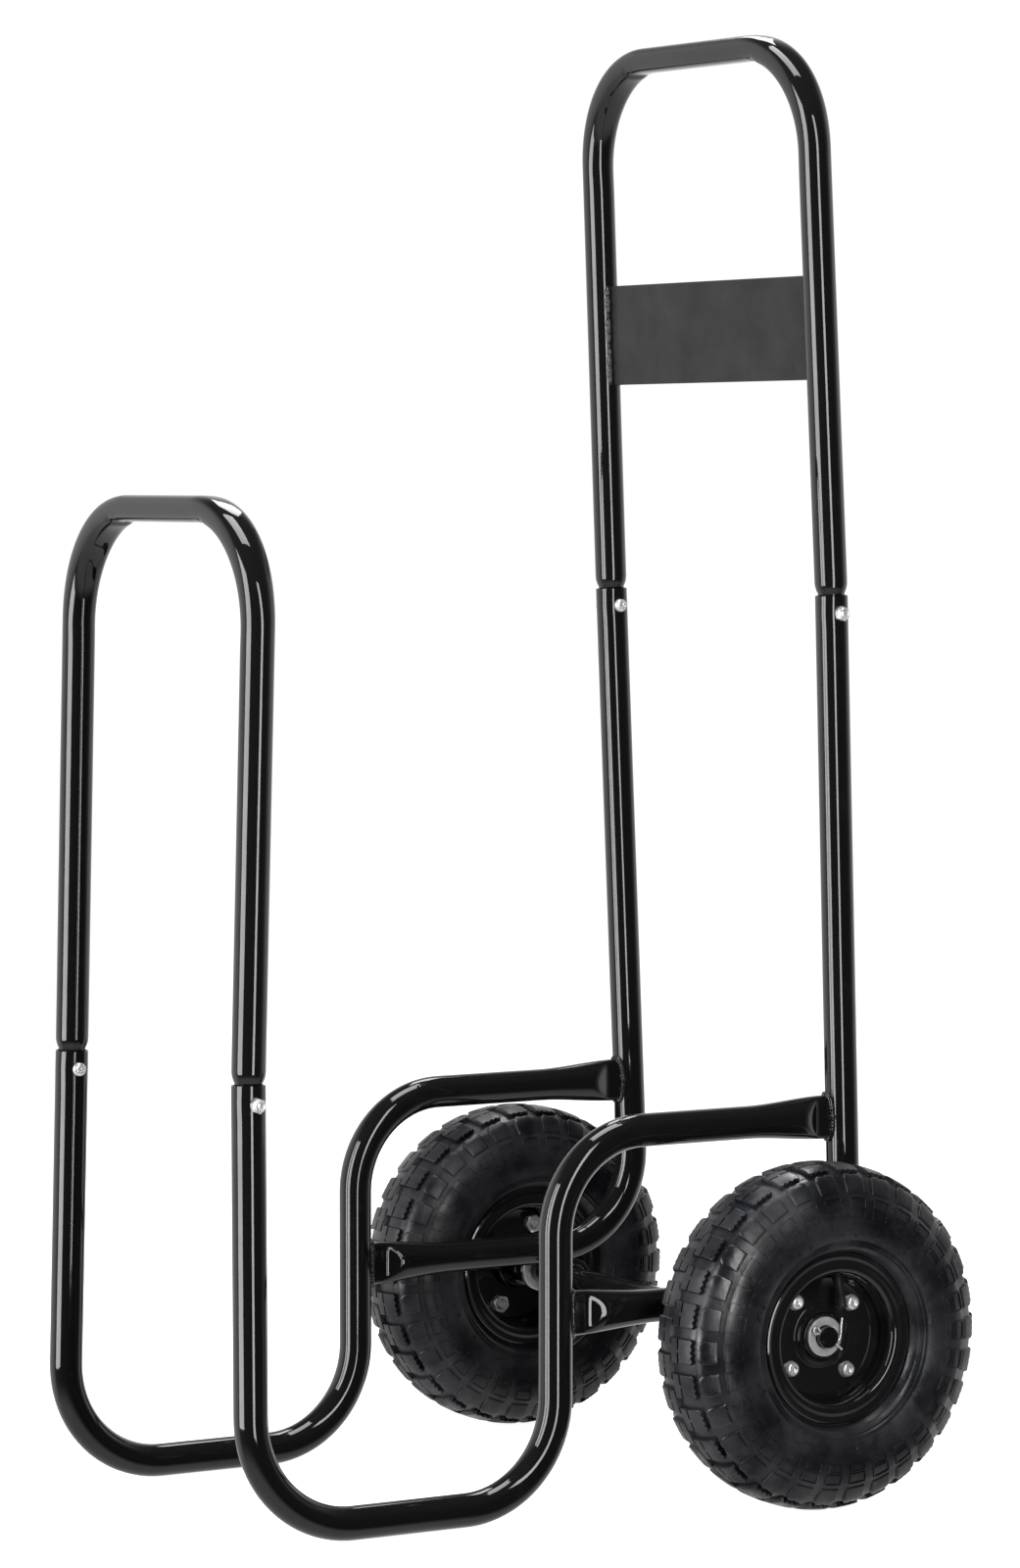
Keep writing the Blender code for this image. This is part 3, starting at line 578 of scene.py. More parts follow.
# ------------------------------------------------------------------ handle plate
def plate():
    mid_z = (PLATE_Z0 + PLATE_Z1) / 2
    mid_y = handle_jy - HANDLE_HOOP_LEAN * (mid_z - HANDLE_JOINT_Z)
    half_x = handle_leg_x(PLATE_Z1) - TUBE_R - GAP + 0.0010
    half_z = (PLATE_Z1 - PLATE_Z0) / 2
    bm = bmesh.new()
    bmesh.ops.create_grid(bm, x_segments=60, y_segments=18, size=1.0)
    for v in bm.verts:
        v.co.x *= half_x
        v.co.y *= half_z
    faces = list(bm.faces)
    made = bmesh.ops.extrude_face_region(bm, geom=faces)
    top = [g for g in made["geom"] if isinstance(g, bmesh.types.BMVert)]
    bmesh.ops.translate(bm, verts=top, vec=(0, 0, PLATE_T))
    bmesh.ops.recalc_face_normals(bm, faces=bm.faces)
    edges = [e for e in bm.edges if e.is_manifold and e.calc_face_angle(0) > 1.0]
    bmesh.ops.bevel(bm, geom=edges, offset=0.00045, segments=2, affect="EDGES", profile=0.5)
    lean = math.atan(HANDLE_HOOP_LEAN)
    for v in bm.verts:
        x, z, y = v.co.x, v.co.y, v.co.z - PLATE_T / 2
        # a sheet that sheared and sprang very slightly
        y += 0.0005 * math.sin(x * 21.0 + 0.6) * math.cos(z * 30.0) * (1 - (x / half_x) ** 2)
        v.co = Vector((x, mid_y + y * math.cos(lean) - z * math.sin(lean), mid_z + z * math.cos(lean) + y * math.sin(lean)))
    mesh = bpy.data.meshes.new("handle_plate_vis")
    bmesh.ops.recalc_face_normals(bm, faces=bm.faces)
    bm.to_mesh(mesh)
    bm.free()
    mesh.shade_smooth()
    mesh.set_sharp_from_angle(angle=math.radians(50))
    mesh.materials.append(PLATE)
    obj = bpy.data.objects.new("handle_plate_vis", mesh)
    bpy.context.scene.collection.objects.link(obj)
    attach(obj, "frame")
    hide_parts("handle_plate")
    return mid_y, mid_z


plate_y, plate_z = plate()


# ------------------------------------------------------------------ welds
def bead(build, pts, radius, ripple, seed, sides=12, blobs=0.55):
    """An uneven hand weld: ripples along its length, lumps here and there."""
    p, at = resample(pts, 0.00055)
    n = len(p)
    t = np.gradient(p, axis=0)
    t /= np.linalg.norm(t, axis=1, keepdims=True) + 1e-12
    up = np.array([0.31, 0.52, 0.79])
    b = np.cross(t, up)
    b /= np.linalg.norm(b, axis=1, keepdims=True)
    m = np.cross(b, t)
    a = np.linspace(0, 2 * math.pi, sides, endpoint=False)
    v = np.zeros((n, sides, 3))
    total = at[-1]
    for i in range(n):
        phase = (at[i] / ripple) % 1.0
        wave = 1 + 0.16 * (1 - phase) - 0.10
        lump = 1 + blobs * 0.5 * noise.noise(Vector((at[i] * 260.0, seed * 3.7, 0.0)))
        ends = math.sqrt(max(0.0, min(1.0, (min(at[i], total - at[i]) + 0.0003) / radius)))
        for j in range(sides):
            extra = 1 + 0.14 * noise.noise(Vector((at[i] * 600.0, math.cos(a[j]) * 1.4 + seed, math.sin(a[j]) * 1.4)))
            r = radius * wave * lump * ends * extra
            v[i, j] = p[i] + r * (math.cos(a[j]) * b[i] + math.sin(a[j]) * m[i])
    f = []
    for i in range(n - 1):
        for j in range(sides):
            k = (j + 1) % sides
            f.append((i * sides + j, i * sides + k, (i + 1) * sides + k, (i + 1) * sides + j))
    f.append(tuple(range(sides))[::-1])
    f.append(tuple((n - 1) * sides + j for j in range(sides)))
    build.put(v.reshape(-1, 3), f)


def end_weld(name, x, axis_y, z, sign, lean, seed, shift=0.0):
    """Fillet weld round a pressed tube end against an upright tube."""
    build = Build()
    tall, wide = 0.0172, 0.0060
    for half_turn, off in ((0, 0.0), (1, math.pi)):
        pts = []
        for k in range(25):
            a = off + math.pi * (k / 24) - math.pi / 2
            px = wide * np.sign(math.cos(a)) * abs(math.cos(a)) ** 0.7
            pz = tall * np.sign(math.sin(a)) * abs(math.sin(a)) ** 0.9
            depth = math.sqrt(max(0.0, TUBE_R**2 - (px - shift) ** 2))
            wobble = 0.0006 * noise.noise(Vector((k * 0.7, seed, half_turn)))
            pts.append(Vector((x + px * 1.06, axis_y - lean * pz + sign * (depth + 0.0003), z + pz + wobble)))
        bead(build, pts, 0.0023, 0.0026, seed + half_turn)
    # a few lumps where the welder stopped
    for k in range(5):
        a = seed * 1.3 + k * 1.9
        px, pz = wide * 1.1 * math.cos(a), tall * math.sin(a)
        depth = math.sqrt(max(0.0, TUBE_R**2 - px**2))
        c = Vector((x + px, axis_y - lean * pz + sign * (depth + 0.0006), z + pz))
        bead(build, [c - Vector((0.0012, 0, 0.001)), c + Vector((0.0012, 0, 0.001))], 0.0026, 0.003, seed + 7 + k)
    return make(name, build.v, build.f, WELD, "frame", (), 60.0)


for side, sx, seed in (("left", 1, 1.0), ("right", -1, 5.0)):
    x = sx * HALF
    end_weld("weld_upper_%s" % side, x, handle_axis(CRADLE_TOP_Z), CRADLE_TOP_Z, -1, HANDLE_LEAN, seed, sx * (upright_x(CRADLE_TOP_Z) - HALF))
    end_weld("weld_lower_%s" % side, x, Y0, LOWER_Z, 1, 0.0, seed + 2)

    # plate welds: stitched beads on the leg, front and back, inner face
    build = Build()
    for face, amp in ((-1, 1.0), (1, 0.8)):
        for z0, z1 in ((PLATE_Z0 + 0.001, PLATE_Z0 + 0.030), (PLATE_Z0 + 0.033, PLATE_Z0 + 0.054), (PLATE_Z0 + 0.057, PLATE_Z1 - 0.001)):
            pts = []
            for k in range(13):
                z = z0 + (z1 - z0) * k / 12
                y = handle_jy - HANDLE_HOOP_LEAN * (z - HANDLE_JOINT_Z)
                jitter = 0.0007 * noise.noise(Vector((z * 900, seed, face)))
                pts.append(Vector((sx * (handle_leg_x(z) - TUBE_R + 0.0002) - sx * jitter, y + face * 0.0022, z)))
            bead(build, pts, 0.0023 * amp, 0.0030, seed + face, blobs=0.9)
    make("weld_plate_%s" % side, build.v, build.f, WELD, "frame", (), 60.0)

    # axle welds under the lower tube and round the collar
    build = Build()
    for face in (-1, 1):
        pts = [
            Vector((x + dx, AXLE_Y + face * 0.0052, AXLE_Z + 0.0072 + 0.0010 * math.cos(dx * 90)))
            for dx in np.linspace(-0.0105, 0.0105, 9)
        ]
        bead(build, pts, 0.0026, 0.0030, seed + 11 + face)
    ring = []
    for k in range(22):
        a = math.radians(20 + 140 * k / 21)
        ring.append(Vector((sx * 0.1268, AXLE_Y + 0.0092 * math.cos(a), AXLE_Z + 0.0092 * math.sin(a))))
    bead(build, ring, 0.0019, 0.0028, seed + 15)
    make("weld_axle_%s" % side, build.v, build.f, WELD, "frame", (), 60.0)


# ------------------------------------------------------------------ axle set
def axle():
    end = WHEEL_X + AXLE_END
    prof = [(0.0, end), (AXLE_R - 0.0012, end), (AXLE_R - 0.0002, end - 0.0010), (AXLE_R, end - 0.0016)]
    xs = [end - 0.0016 - k * (2 * end - 0.0032) / 160 for k in range(1, 160)]
    prof += [(AXLE_R, q) for q in xs]
    prof += [(AXLE_R, -end + 0.0016), (AXLE_R - 0.0002, -end + 0.0010), (AXLE_R - 0.0012, -end), (0.0, -end)]
    steps = 48
    a = np.linspace(0, 2 * math.pi, steps, endpoint=False)
    v, f = [], []
    v.append((end, AXLE_Y, AXLE_Z))
    rows = []
    for r, q in prof[1:-1]:
        row = []
        for ang in a:
            row.append(len(v))
            v.append((q, AXLE_Y + r * math.cos(ang), AXLE_Z + r * math.sin(ang)))
        rows.append(row)
    v.append((-end, AXLE_Y, AXLE_Z))
    for j in range(steps):
        k = (j + 1) % steps
        f.append((0, rows[0][j], rows[0][k]))
        f.append((len(v) - 1, rows[-1][k], rows[-1][j]))
    for i in range(len(rows) - 1):
        for j in range(steps):
            k = (j + 1) % steps
            f.append((rows[i][j], rows[i + 1][j], rows[i + 1][k], rows[i][k]))
    return make("axle_vis", v, f, PAINT, "frame", ("axle",), 30.0)


axle()


def wire(name, pts, radius, mat, body, replaced, sides=14):
    p, at = resample(pts, 0.0004)
    n = len(p)
    t = np.gradient(p, axis=0)
    t /= np.linalg.norm(t, axis=1, keepdims=True)
    b = np.tile(np.array([1.0, 0, 0]), (n, 1))
    b -= t * (t @ np.array([1.0, 0, 0]))[:, None]
    b /= np.linalg.norm(b, axis=1, keepdims=True)
    m = np.cross(b, t)
    a = np.linspace(0, 2 * math.pi, sides, endpoint=False)
    scale = np.ones(n)
    scale[0] = scale[-1] = 0.55
    v = (
        p[:, None, :]
        + (radius * scale)[:, None, None]
        * (np.cos(a)[None, :, None] * m[:, None, :] + np.sin(a)[None, :, None] * b[:, None, :])
    ).reshape(-1, 3)
    f = []
    for i in range(n - 1):
        for j in range(sides):
            k = (j + 1) % sides
            f.append((i * sides + j, i * sides + k, (i + 1) * sides + k, (i + 1) * sides + j))
    f.append(tuple(range(sides))[::-1])
    f.append(tuple((n - 1) * sides + j for j in range(sides)))
    return make(name, v, f, mat, body, replaced, 60.0)


def smooth_curve(pts, times=3):
    """Chaikin corner cutting."""
    p = [Vector(q) for q in pts]
    for _ in range(times):
        out = [p[0]]
        for i in range(len(p) - 1):
            out.append(p[i] * 0.75 + p[i + 1] * 0.25)
            out.append(p[i] * 0.25 + p[i + 1] * 0.75)
        out.append(p[-1])
        p = out
    return p


PIN_ANGLE = math.radians(-30.0)


def split_pin(side, sx):
    x = sx * (WHEEL_X + PIN_X)
    off = 0.00098
    upper = [(0.0041, 0.0187), (0.0073, 0.0115), (0.0094, 0.0072), (0.0103, 0.0040), (0.0101, 0.0021), (0.0088, off), (0.0, off)]
    eye = []
    for k in range(15):
        a = math.radians(28 + (360 - 56) * k / 14)
        eye.append((-0.0116 + 0.0026 * math.cos(a), 0.0026 * math.sin(a)))
    lower = [(0.0, -off), (0.0088, -off), (0.0112, -0.0014), (0.0165, -0.0024)]
    flat = upper + [(-0.0084, off)] + eye + [(-0.0084, -off)] + lower
    ca, sa = math.cos(PIN_ANGLE), math.sin(PIN_ANGLE)
    pts = [Vector((x, AXLE_Y + p * ca - q * sa, AXLE_Z + p * sa + q * ca)) for p, q in flat]
    wire("split_pin_%s_vis" % side, smooth_curve(pts), 0.00090, ZINC, "frame", ("split_pin_" + side,))


for side, sx in (("left", 1), ("right", -1)):
    split_pin(side, sx)
    c = (sx * WHEEL_X, AXLE_Y, AXLE_Z)
    z0, z1, r = 0.0090, 0.0115, 0.0150
    turn_piece("outer_washer_%s_vis" % side, [(r, z1), (r, z0), (0.0084, z0), (0.0084, z1)], [0.0008, 0.0003, 0.0003, 0.0008], c, sx, WASHER, "frame", ("outer_washer_" + side,))
    z0, z1, r = -0.0438, -0.0408, 0.0170
    turn_piece("inner_washer_%s_vis" % side, [(r, z1), (r, z0), (0.0084, z0), (0.0084, z1)], [0.0006, 0.0009, 0.0006, 0.0003], c, sx, WASHER, "frame", ("inner_washer_" + side,))
    c0 = (0, AXLE_Y, AXLE_Z)
    turn_piece(
        "axle_collar_%s_vis" % side,
        [(0.0152, 0.1382), (0.0152, 0.1270), (0.0140, 0.1270), (0.0132, 0.1278), (0.0083, 0.1278), (0.0083, 0.1382)],
        [0.0010, 0.0006, 0.0004, 0.0006, 0.0003, 0.0006], c0, sx, PAINT, "frame", ("axle_collar_" + side,),
    )
    turn_piece(
        "axle_spacer_%s_vis" % side,
        [(0.0110, 0.1754), (0.0110, 0.1612), (0.0083, 0.1612), (0.0083, 0.1754)],
        [0.0008, 0.0008, 0.0004, 0.0004], c0, sx, PAINT, "frame", ("axle_spacer_" + side,),
    )


# ------------------------------------------------------------------ fasteners
def oriented(verts, centre, direction, spin=0.0):
    q = Vector((0, 0, 1)).rotation_difference(Vector(direction).normalized())
    m = q.to_matrix() @ Matrix.Rotation(spin, 3, "Z")
    c = Vector(centre)
    return [tuple(c + m @ Vector(v)) for v in verts]


def lathe(profile, steps):
    """Open profile from axis to axis, turned about Z; a closed shell."""
    v, f = [], []
    rows = []
    for r, z in profile:
        if r < 1e-7:
            rows.append([len(v)])
            v.append((0.0, 0.0, z))
        else:
            row = []
            for k in range(steps):
                a = 2 * math.pi * k / steps
                row.append(len(v))
                v.append((r * math.cos(a), r * math.sin(a), z))
            rows.append(row)
    for a, b in zip(rows, rows[1:]):
        for j in range(steps):
            k = (j + 1) % steps
            if len(a) == 1 and len(b) > 1:
                f.append((a[0], b[j], b[k]))
            elif len(b) == 1 and len(a) > 1:
                f.append((a[j], b[0], a[k]))
            elif len(a) > 1:
                f.append((a[j], b[j], b[k], a[k]))
    return v, f


def thread(profile_r, z0, z1, pitch=0.00125, depth=0.00045):
    """Zig-zag profile between two heights, for a threaded end."""
    n = max(2, int(abs(z1 - z0) / (pitch / 2)))
    return [
        (profile_r - (depth if k % 2 else 0.0), z0 + (z1 - z0) * k / n) for k in range(n + 1)
    ]


def wheel_bolt(name, centre, direction, node, length):
    """Cup head with a shallow dimple; the head is on the -direction side."""
    h, r = 0.0044, 0.0058
    prof = [
        (0.0, -h + 0.0014), (0.0013, -h + 0.0013), (0.0022, -h + 0.0008), (0.0026, -h + 0.0003), (0.0030, -h),
        (0.0034, -h), (0.0043, -h + 0.0003), (0.0050, -h + 0.0009), (0.0055, -h + 0.0018), (r, -h + 0.0029), (r, -0.0003),
        (r + 0.0003, 0.0), (0.0037, 0.0), (0.0037, length - 0.0075),
    ]
    prof += thread(0.0037, length - 0.0074, length - 0.0006) + [(0.0030, length), (0.0, length)]
    v, f = lathe(prof, 32)
    make(name, oriented(v, centre, direction), f, ZINC, BODY, (node,), 40.0)


def hex_solid(flats, height, bore, chamfer=0.0007, dome=0.0):
    """Hexagon nut with chamfered corners and a bore with a lead-in."""
    steps = 48
    v, f = [], []
    apothem = flats / 2

    def hex_r(a, grow=1.0):
        k = (a + math.pi / 6) % (math.pi / 3) - math.pi / 6
        return apothem * grow / math.cos(k)

    rows = []

    def ring(fn, z):
        row = []
        for k in range(steps):
            a = 2 * math.pi * k / steps
            r = fn(a)
            zz = z(a, r) if callable(z) else z
            row.append(len(v))
            v.append((r * math.cos(a), r * math.sin(a), zz))
        rows.append(row)

    round_r = apothem * 0.97
    # a chamfer cone cuts the corners: height falls outside the flats' circle
    top = lambda a, r: height - max(0.0, r - apothem * 0.985) * 0.62
    bot = lambda a, r: max(0.0, r - apothem * 0.985) * 0.62
    ring(lambda a: bore, 0.0006)
    ring(lambda a: bore + 0.0005, 0.0)
    ring(lambda a: round_r, 0.0)
    ring(lambda a: hex_r(a), bot)
    ring(lambda a: hex_r(a), top)
    ring(lambda a: round_r, height)
    ring(lambda a: bore + 0.0005, height)
    ring(lambda a: bore, height - 0.0006)
    for i in range(len(rows)):
        a, b = rows[i], rows[(i + 1) % len(rows)]
        for j in range(steps):
            k = (j + 1) % steps
            f.append((a[j], a[k], b[k], b[j]))
    return v, f


def wheel_nut(name, centre, direction, node, spin):
    v, f = hex_solid(0.0130, 0.0065, 0.0038)
    make(name, oriented(v, centre, direction, spin), f, ZINC, BODY, (node,), 30.0)


def joint_bolt(name, centre, direction, node, length):
    """Small pan head with a cross recess, modelled as four slots."""
    h, r = 0.0036, 0.0052
    build = Build()
    prof = [
        (0.0, -h), (0.0016, -h), (0.0030, -h + 0.0002), (0.0042, -h + 0.0007), (0.0049, -h + 0.0014),
        (r, -h + 0.0022), (r, -0.0002), (r - 0.0002, 0.0), (0.0028, 0.0), (0.0028, length - 0.008),
    ]
    prof += thread(0.0028, length - 0.0078, length - 0.0005, 0.001) + [(0.0022, length), (0.0, length)]
    rings, steps = [], 48
    v, f = lathe(prof, steps)
    # recess: push the head's middle points in along the two arms of a cross
    arm = 0.0008
    dense = []
    grid = 25
    head_r = 0.0040
    v2, f2 = [], []
    for i in range(grid):
        for j in range(grid):
            a, b = -1 + 2 * i / (grid - 1), -1 + 2 * j / (grid - 1)
            # square to disc
            px = a * math.sqrt(1 - b * b / 2) * head_r
            py = b * math.sqrt(1 - a * a / 2) * head_r
            rr = math.hypot(px, py)
            z = -h - 0.00012 + max(0.0, rr - 0.0016) ** 2 * 95.0
            long, short = max(abs(px), abs(py)), min(abs(px), abs(py))
            inside = smooth((arm - short) / 0.0004) * smooth((0.0026 - long) / 0.0005)
            z += 0.0016 * float(inside)
            v2.append((px, py, z))
    for i in range(grid - 1):
        for j in range(grid - 1):
            f2.append((i * grid + j, (i + 1) * grid + j, (i + 1) * grid + j + 1, i * grid + j + 1))
    rim = [i * grid for i in range(grid)] + [(grid - 1) * grid + j for j in range(1, grid)]
    rim += [i * grid + grid - 1 for i in range(grid - 2, -1, -1)] + [j for j in range(grid - 2, 0, -1)]
    base = len(v2)
    for k in rim:
        px, py, z = v2[k]
        v2.append((px, py, -0.0006))
    for k in range(len(rim)):
        q = (k + 1) % len(rim)
        f2.append((rim[k], rim[q], base + q, base + k))
    f2.append(tuple(base + k for k in range(len(rim)))[::-1])
    # drop the lathe's flat top so that the recess shows
    prof2 = [(0.0, -0.0010), (0.0036, -0.0010), (0.0038, -h + 0.00048)] + prof[3:]
    v, f = lathe(prof2, steps)
    build.put(v, f)
    build.put(v2, f2)
    make(name, oriented(build.v, centre, direction, 0.5), build.f, ZINC, "frame", (node,), 40.0)


def joint_nut(name, centre, direction, node, spin):
    """Lock nut: a hexagon with a round collar."""
    v, f = hex_solid(0.0100, 0.0044, 0.0030)
    build = Build()
    build.put(v, f)
    prof = [(0.0046, 0.0034), (0.0046, 0.0056), (0.0042, 0.0062), (0.0034, 0.0062), (0.0030, 0.0056), (0.0030, 0.0034)]
    pts = round_corners(prof, [0.0, 0.0005, 0.0005, 0.0005, 0.0004, 0.0])
    steps, m = 40, len(pts)
    vv = [
        (r * math.cos(2 * math.pi * k / steps), r * math.sin(2 * math.pi * k / steps), z)
        for k in range(steps)
        for r, z in pts
    ]
    ff = []
    for i in range(steps):
        k = (i + 1) % steps
        for j in range(m):
            q = (j + 1) % m
            ff.append((i * m + j, k * m + j, k * m + q, i * m + q))
    build.put(vv, ff)
    make(name, oriented(build.v, centre, direction, spin), build.f, ZINC, "frame", (node,), 30.0)


for place, jy, jz, lean, half, taper in (
    ("front", front_jy, FRONT_JOINT_Z, FRONT_LEAN, HALF - TOE, FRONT_TAPER),
    ("handle", handle_jy, HANDLE_JOINT_Z, -HANDLE_LEAN, HANDLE_HALF, HANDLE_TAPER),
):
    for side, sx in (("left", 1), ("right", -1)):
        by = jy - lean * BOLT_DROP
        bz = jz - BOLT_DROP
        ax = half + taper * BOLT_DROP
        r_here = TUBE_R * 0.982
        joint_bolt("joint_bolt_%s_%s_vis" % (place, side), (sx * (ax - r_here), by, bz), (sx, 0, 0), "joint_bolt_%s_%s" % (place, side), 2 * r_here + 0.0058)
        joint_nut("joint_nut_%s_%s_vis" % (place, side), (sx * (ax + r_here), by, bz), (sx, 0, 0), "joint_nut_%s_%s" % (place, side), 0.2 + 0.5 * sx)


# ------------------------------------------------------------------ tyre
SEC_N = 2 / 2.15
MID_R = TYRE_R - 0.0395
HALF_W = 0.0404
PITCH = math.radians(12.0)
BLOCK_W = math.radians(8.3)


def envelope(phi):
    """Outer tyre surface: (radius, outboard) at a section angle, 0 = crown."""
    phi = np.asarray(phi, float)
    c, s = np.cos(phi), np.sin(phi)
    across = np.abs(s) ** SEC_N
    square = 2.15 + 0.50 * (1 - smooth((np.degrees(np.abs(phi)) - 38) / 27))
    r = MID_R + np.sign(c) * np.maximum(0.0, 1 - across**square) ** (1 / square) * 0.0395
    x = np.sign(s) * across * HALF_W
    return r, x


def surface(theta, phi, h):
    """Point at angle theta round the wheel, section angle phi, height h."""
    theta, phi, h = np.broadcast_arrays(np.asarray(theta, float), np.asarray(phi, float), np.asarray(h, float))
    r, x = envelope(phi)
    e = 1e-3
    r1, x1 = envelope(phi + e)
    r0, x0 = envelope(phi - e)
    tr, tx = r1 - r0, x1 - x0
    ln = np.hypot(tr, tx)
    nr, nx = tx / ln, -tr / ln
    r = r + nr * h
    x = x + nx * h
    return np.stack([x, r * np.cos(theta), r * np.sin(theta)], -1)


def floor_height(phi):
    """Carcass level below the outer surface."""
    d = abs(math.degrees(phi))
    if d < 34:
        return -0.0034
    if d < 64:
        return -0.0034 + 0.0026 * (d - 34) / 30
    if d < 68:
        return -0.0008 + 0.0004 * (d - 64) / 4
    if d < 90:
        return -0.0004
    return -0.0004


def patch(build, theta, phi, top, skirt):
    """A grid of surface points with walls down to the skirt height."""
    nu, nv = theta.shape
    v = surface(theta, phi, top).reshape(-1, 3)
    f = []
    for i in range(nu - 1):
        for j in range(nv - 1):
            f.append((i * nv + j, (i + 1) * nv + j, (i + 1) * nv + j + 1, i * nv + j + 1))
    rim = [i * nv for i in range(nu)] + [(nu - 1) * nv + j for j in range(1, nv)]
    rim += [i * nv + nv - 1 for i in range(nu - 2, -1, -1)] + [j for j in range(nv - 2, 0, -1)]
    th, ph = theta.reshape(-1)[rim], phi.reshape(-1)[rim]
    # walls flare a little towards their foot
    cth, cph = th.mean(), ph.mean()
    low = surface(th + (th - cth) * 0.05, ph + (ph - cph) * 0.05, skirt)
    base = len(v)
    v = np.concatenate([v, low])
    n = len(rim)
    for k in range(n):
        q = (k + 1) % n
        f.append((rim[k], rim[q], base + q, base + k))
    f.append(tuple(base + k for k in range(n))[::-1])
    build.put(v, f)


def edge_axis(low, high, inner, lip):
    """Coordinates with two close rows at each edge, for a rounded lip."""
    return [low, low + lip * 0.35, low + lip] + inner + [high - lip, high - lip * 0.35, high]


def crown_block(build, start, sign):
    lip = math.radians(0.34)
    teeth = 4
    us = [0.0, 0.014, 0.04]
    us += [k / 16 for k in range(1, 16)]
    us += [0.96, 0.986, 1.0]
    us = sorted(set(us))
    slot0, slot1 = math.radians(11.3), math.radians(12.7)
    vs_deg = [0.9, 1.02, 1.25, 4.0, 8.0, 10.75, 10.95, 11.60, 12.20, 12.85, 13.05, 16.0, 21.0, 26.0, 30.6, 30.9, 31.0]
    nu, nv = len(us), len(vs_deg)
    theta = np.zeros((nu, nv))
    phi = np.zeros((nu, nv))
    top = np.zeros((nu, nv))
    for i, u in enumerate(us):
        tooth = abs(((u * teeth) % 1.0) - 0.5) * 2  # 1 at the edges, 0 mid
        end = 31.0 + 2.6 * (1 - tooth)
        for j, d in enumerate(vs_deg):
            if d > 26.0:
                d = end - (31.0 - d)
            elif d > 16.0:
                d = 16.0 + (d - 16.0) * (1 + (end - 31.0) / 15.0 * 0.8)
            theta[i, j] = start + BLOCK_W * u
            phi[i, j] = sign * math.radians(d)
            drop = 0.0
            edge_u = min(u, 1 - u)
            if edge_u < 0.001:
                drop += 0.00055
            elif edge_u < 0.02:
                drop += 0.00018
            if j in (0, nv - 1):
                drop += 0.00055
            elif j in (1, nv - 2):
                drop += 0.00018
            # the sipe: two slits with a bridge between them
            if 10.9 < d < 12.9 and 0.03 < u < 0.97 and not 0.43 < u < 0.57:
                drop += 0.0027
            top[i, j] = -drop
    patch(build, theta, phi, top, -0.0042)


def shoulder_block(build, start, sign):
    us = [0.0, 0.014, 0.04, 0.12, 0.22, 0.36, 0.5, 0.64, 0.78, 0.88, 0.96, 0.986, 1.0]
    vs = [0.0, 0.012, 0.035, 0.15, 0.3, 0.45, 0.6, 0.72, 0.86, 0.965, 0.988, 1.0]
    theta = np.zeros((len(us), len(vs)))
    phi = np.zeros_like(theta)
    top = np.zeros_like(theta)
    for i, u in enumerate(us):
        first = float(np.interp(u, [0, 0.18, 0.30, 0.5, 0.70, 0.82, 1], [43.5, 38.6, 38.2, 40.6, 38.2, 38.6, 43.5]))
        for j, w in enumerate(vs):
            d = first + (61.0 - first) * w
            narrow = 0.94 + 0.06 * min(1.0, w * 3)
            theta[i, j] = start + BLOCK_W * (0.5 + (u - 0.5) * narrow)
            phi[i, j] = sign * math.radians(d)
            drop = 0.0004
            edge_u = min(u, 1 - u)
            drop += 0.0005 if edge_u < 0.001 else (0.00016 if edge_u < 0.02 else 0.0)
            drop += 0.0005 if j in (0, len(vs) - 1) else (0.00016 if j in (1, len(vs) - 2) else 0.0)
            # the leading half is a step lower
            if w < 0.30:
                drop += 0.0006 * (1 - w / 0.30)
            top[i, j] = -drop
    patch(build, theta, phi, top, -0.0040)


def outline_frame(build, start, sign, d0, d1, height=0.00055, line=0.00075):
    """A raised line round a rectangle on the sidewall."""
    r_mid = float(envelope(np.array(math.radians((d0 + d1) / 2)))[0])
    dt = line / r_mid
    dp = math.degrees(line / 0.040)
    t0, t1 = start + BLOCK_W * 0.02, start + BLOCK_W * 0.98
    bars = [
        (t0, t1, d0, d0 + dp),
        (t0, t1, d1 - dp, d1),
        (t0, t0 + dt, d0 + dp, d1 - dp),
        (t1 - dt, t1, d0 + dp, d1 - dp),
    ]
    for a, b, p, q in bars:
        nu = 7 if (b - a) > 3 * dt else 4
        nv = 4 if (q - p) < 2 * dp else 6
        us = np.array([0, 0.15, 0.85, 1.0]) if nu == 4 else np.linspace(0, 1, nu)
        vs = np.array([0, 0.15, 0.85, 1.0]) if nv == 4 else np.linspace(0, 1, nv)
        th = (a + (b - a) * us)[:, None] + np.zeros((1, len(vs)))
        ph = sign * np.radians(p + (q - p) * vs)[None, :] + np.zeros((len(us), 1))
        top = np.full(th.shape, height)
        edge = np.zeros(th.shape, bool)
        edge[:, 0] = edge[:, -1] = True
        edge[0, :] = edge[-1, :] = True
        top[edge] -= 0.00025
        patch(build, th, ph, top, -0.0012)


def nub(build, theta, deg, sign, radius=0.0011, height=0.0007):
    r_here = float(envelope(np.array(math.radians(deg)))[0])
    rows = [(1.0, -0.0010), (1.0, height * 0.7), (0.8, height), (0.45, height), (0.35, height * 0.2)]
    v, f = [], []
    n = 14
    for k, h in rows:
        for j in range(n):
            a = 2 * math.pi * j / n
            th = theta + math.cos(a) * radius * k / r_here
            ph = sign * (math.radians(deg) + math.sin(a) * radius * k / 0.040)
            v.append(surface(th, ph, h).reshape(3))
    for i in range(len(rows) - 1):
        for j in range(n):
            q = (j + 1) % n
            f.append((i * n + j, i * n + q, (i + 1) * n + q, (i + 1) * n + j))
    f.append(tuple(range(n))[::-1])
    f.append(tuple((len(rows) - 1) * n + j for j in range(n)))
    build.put(v, f)


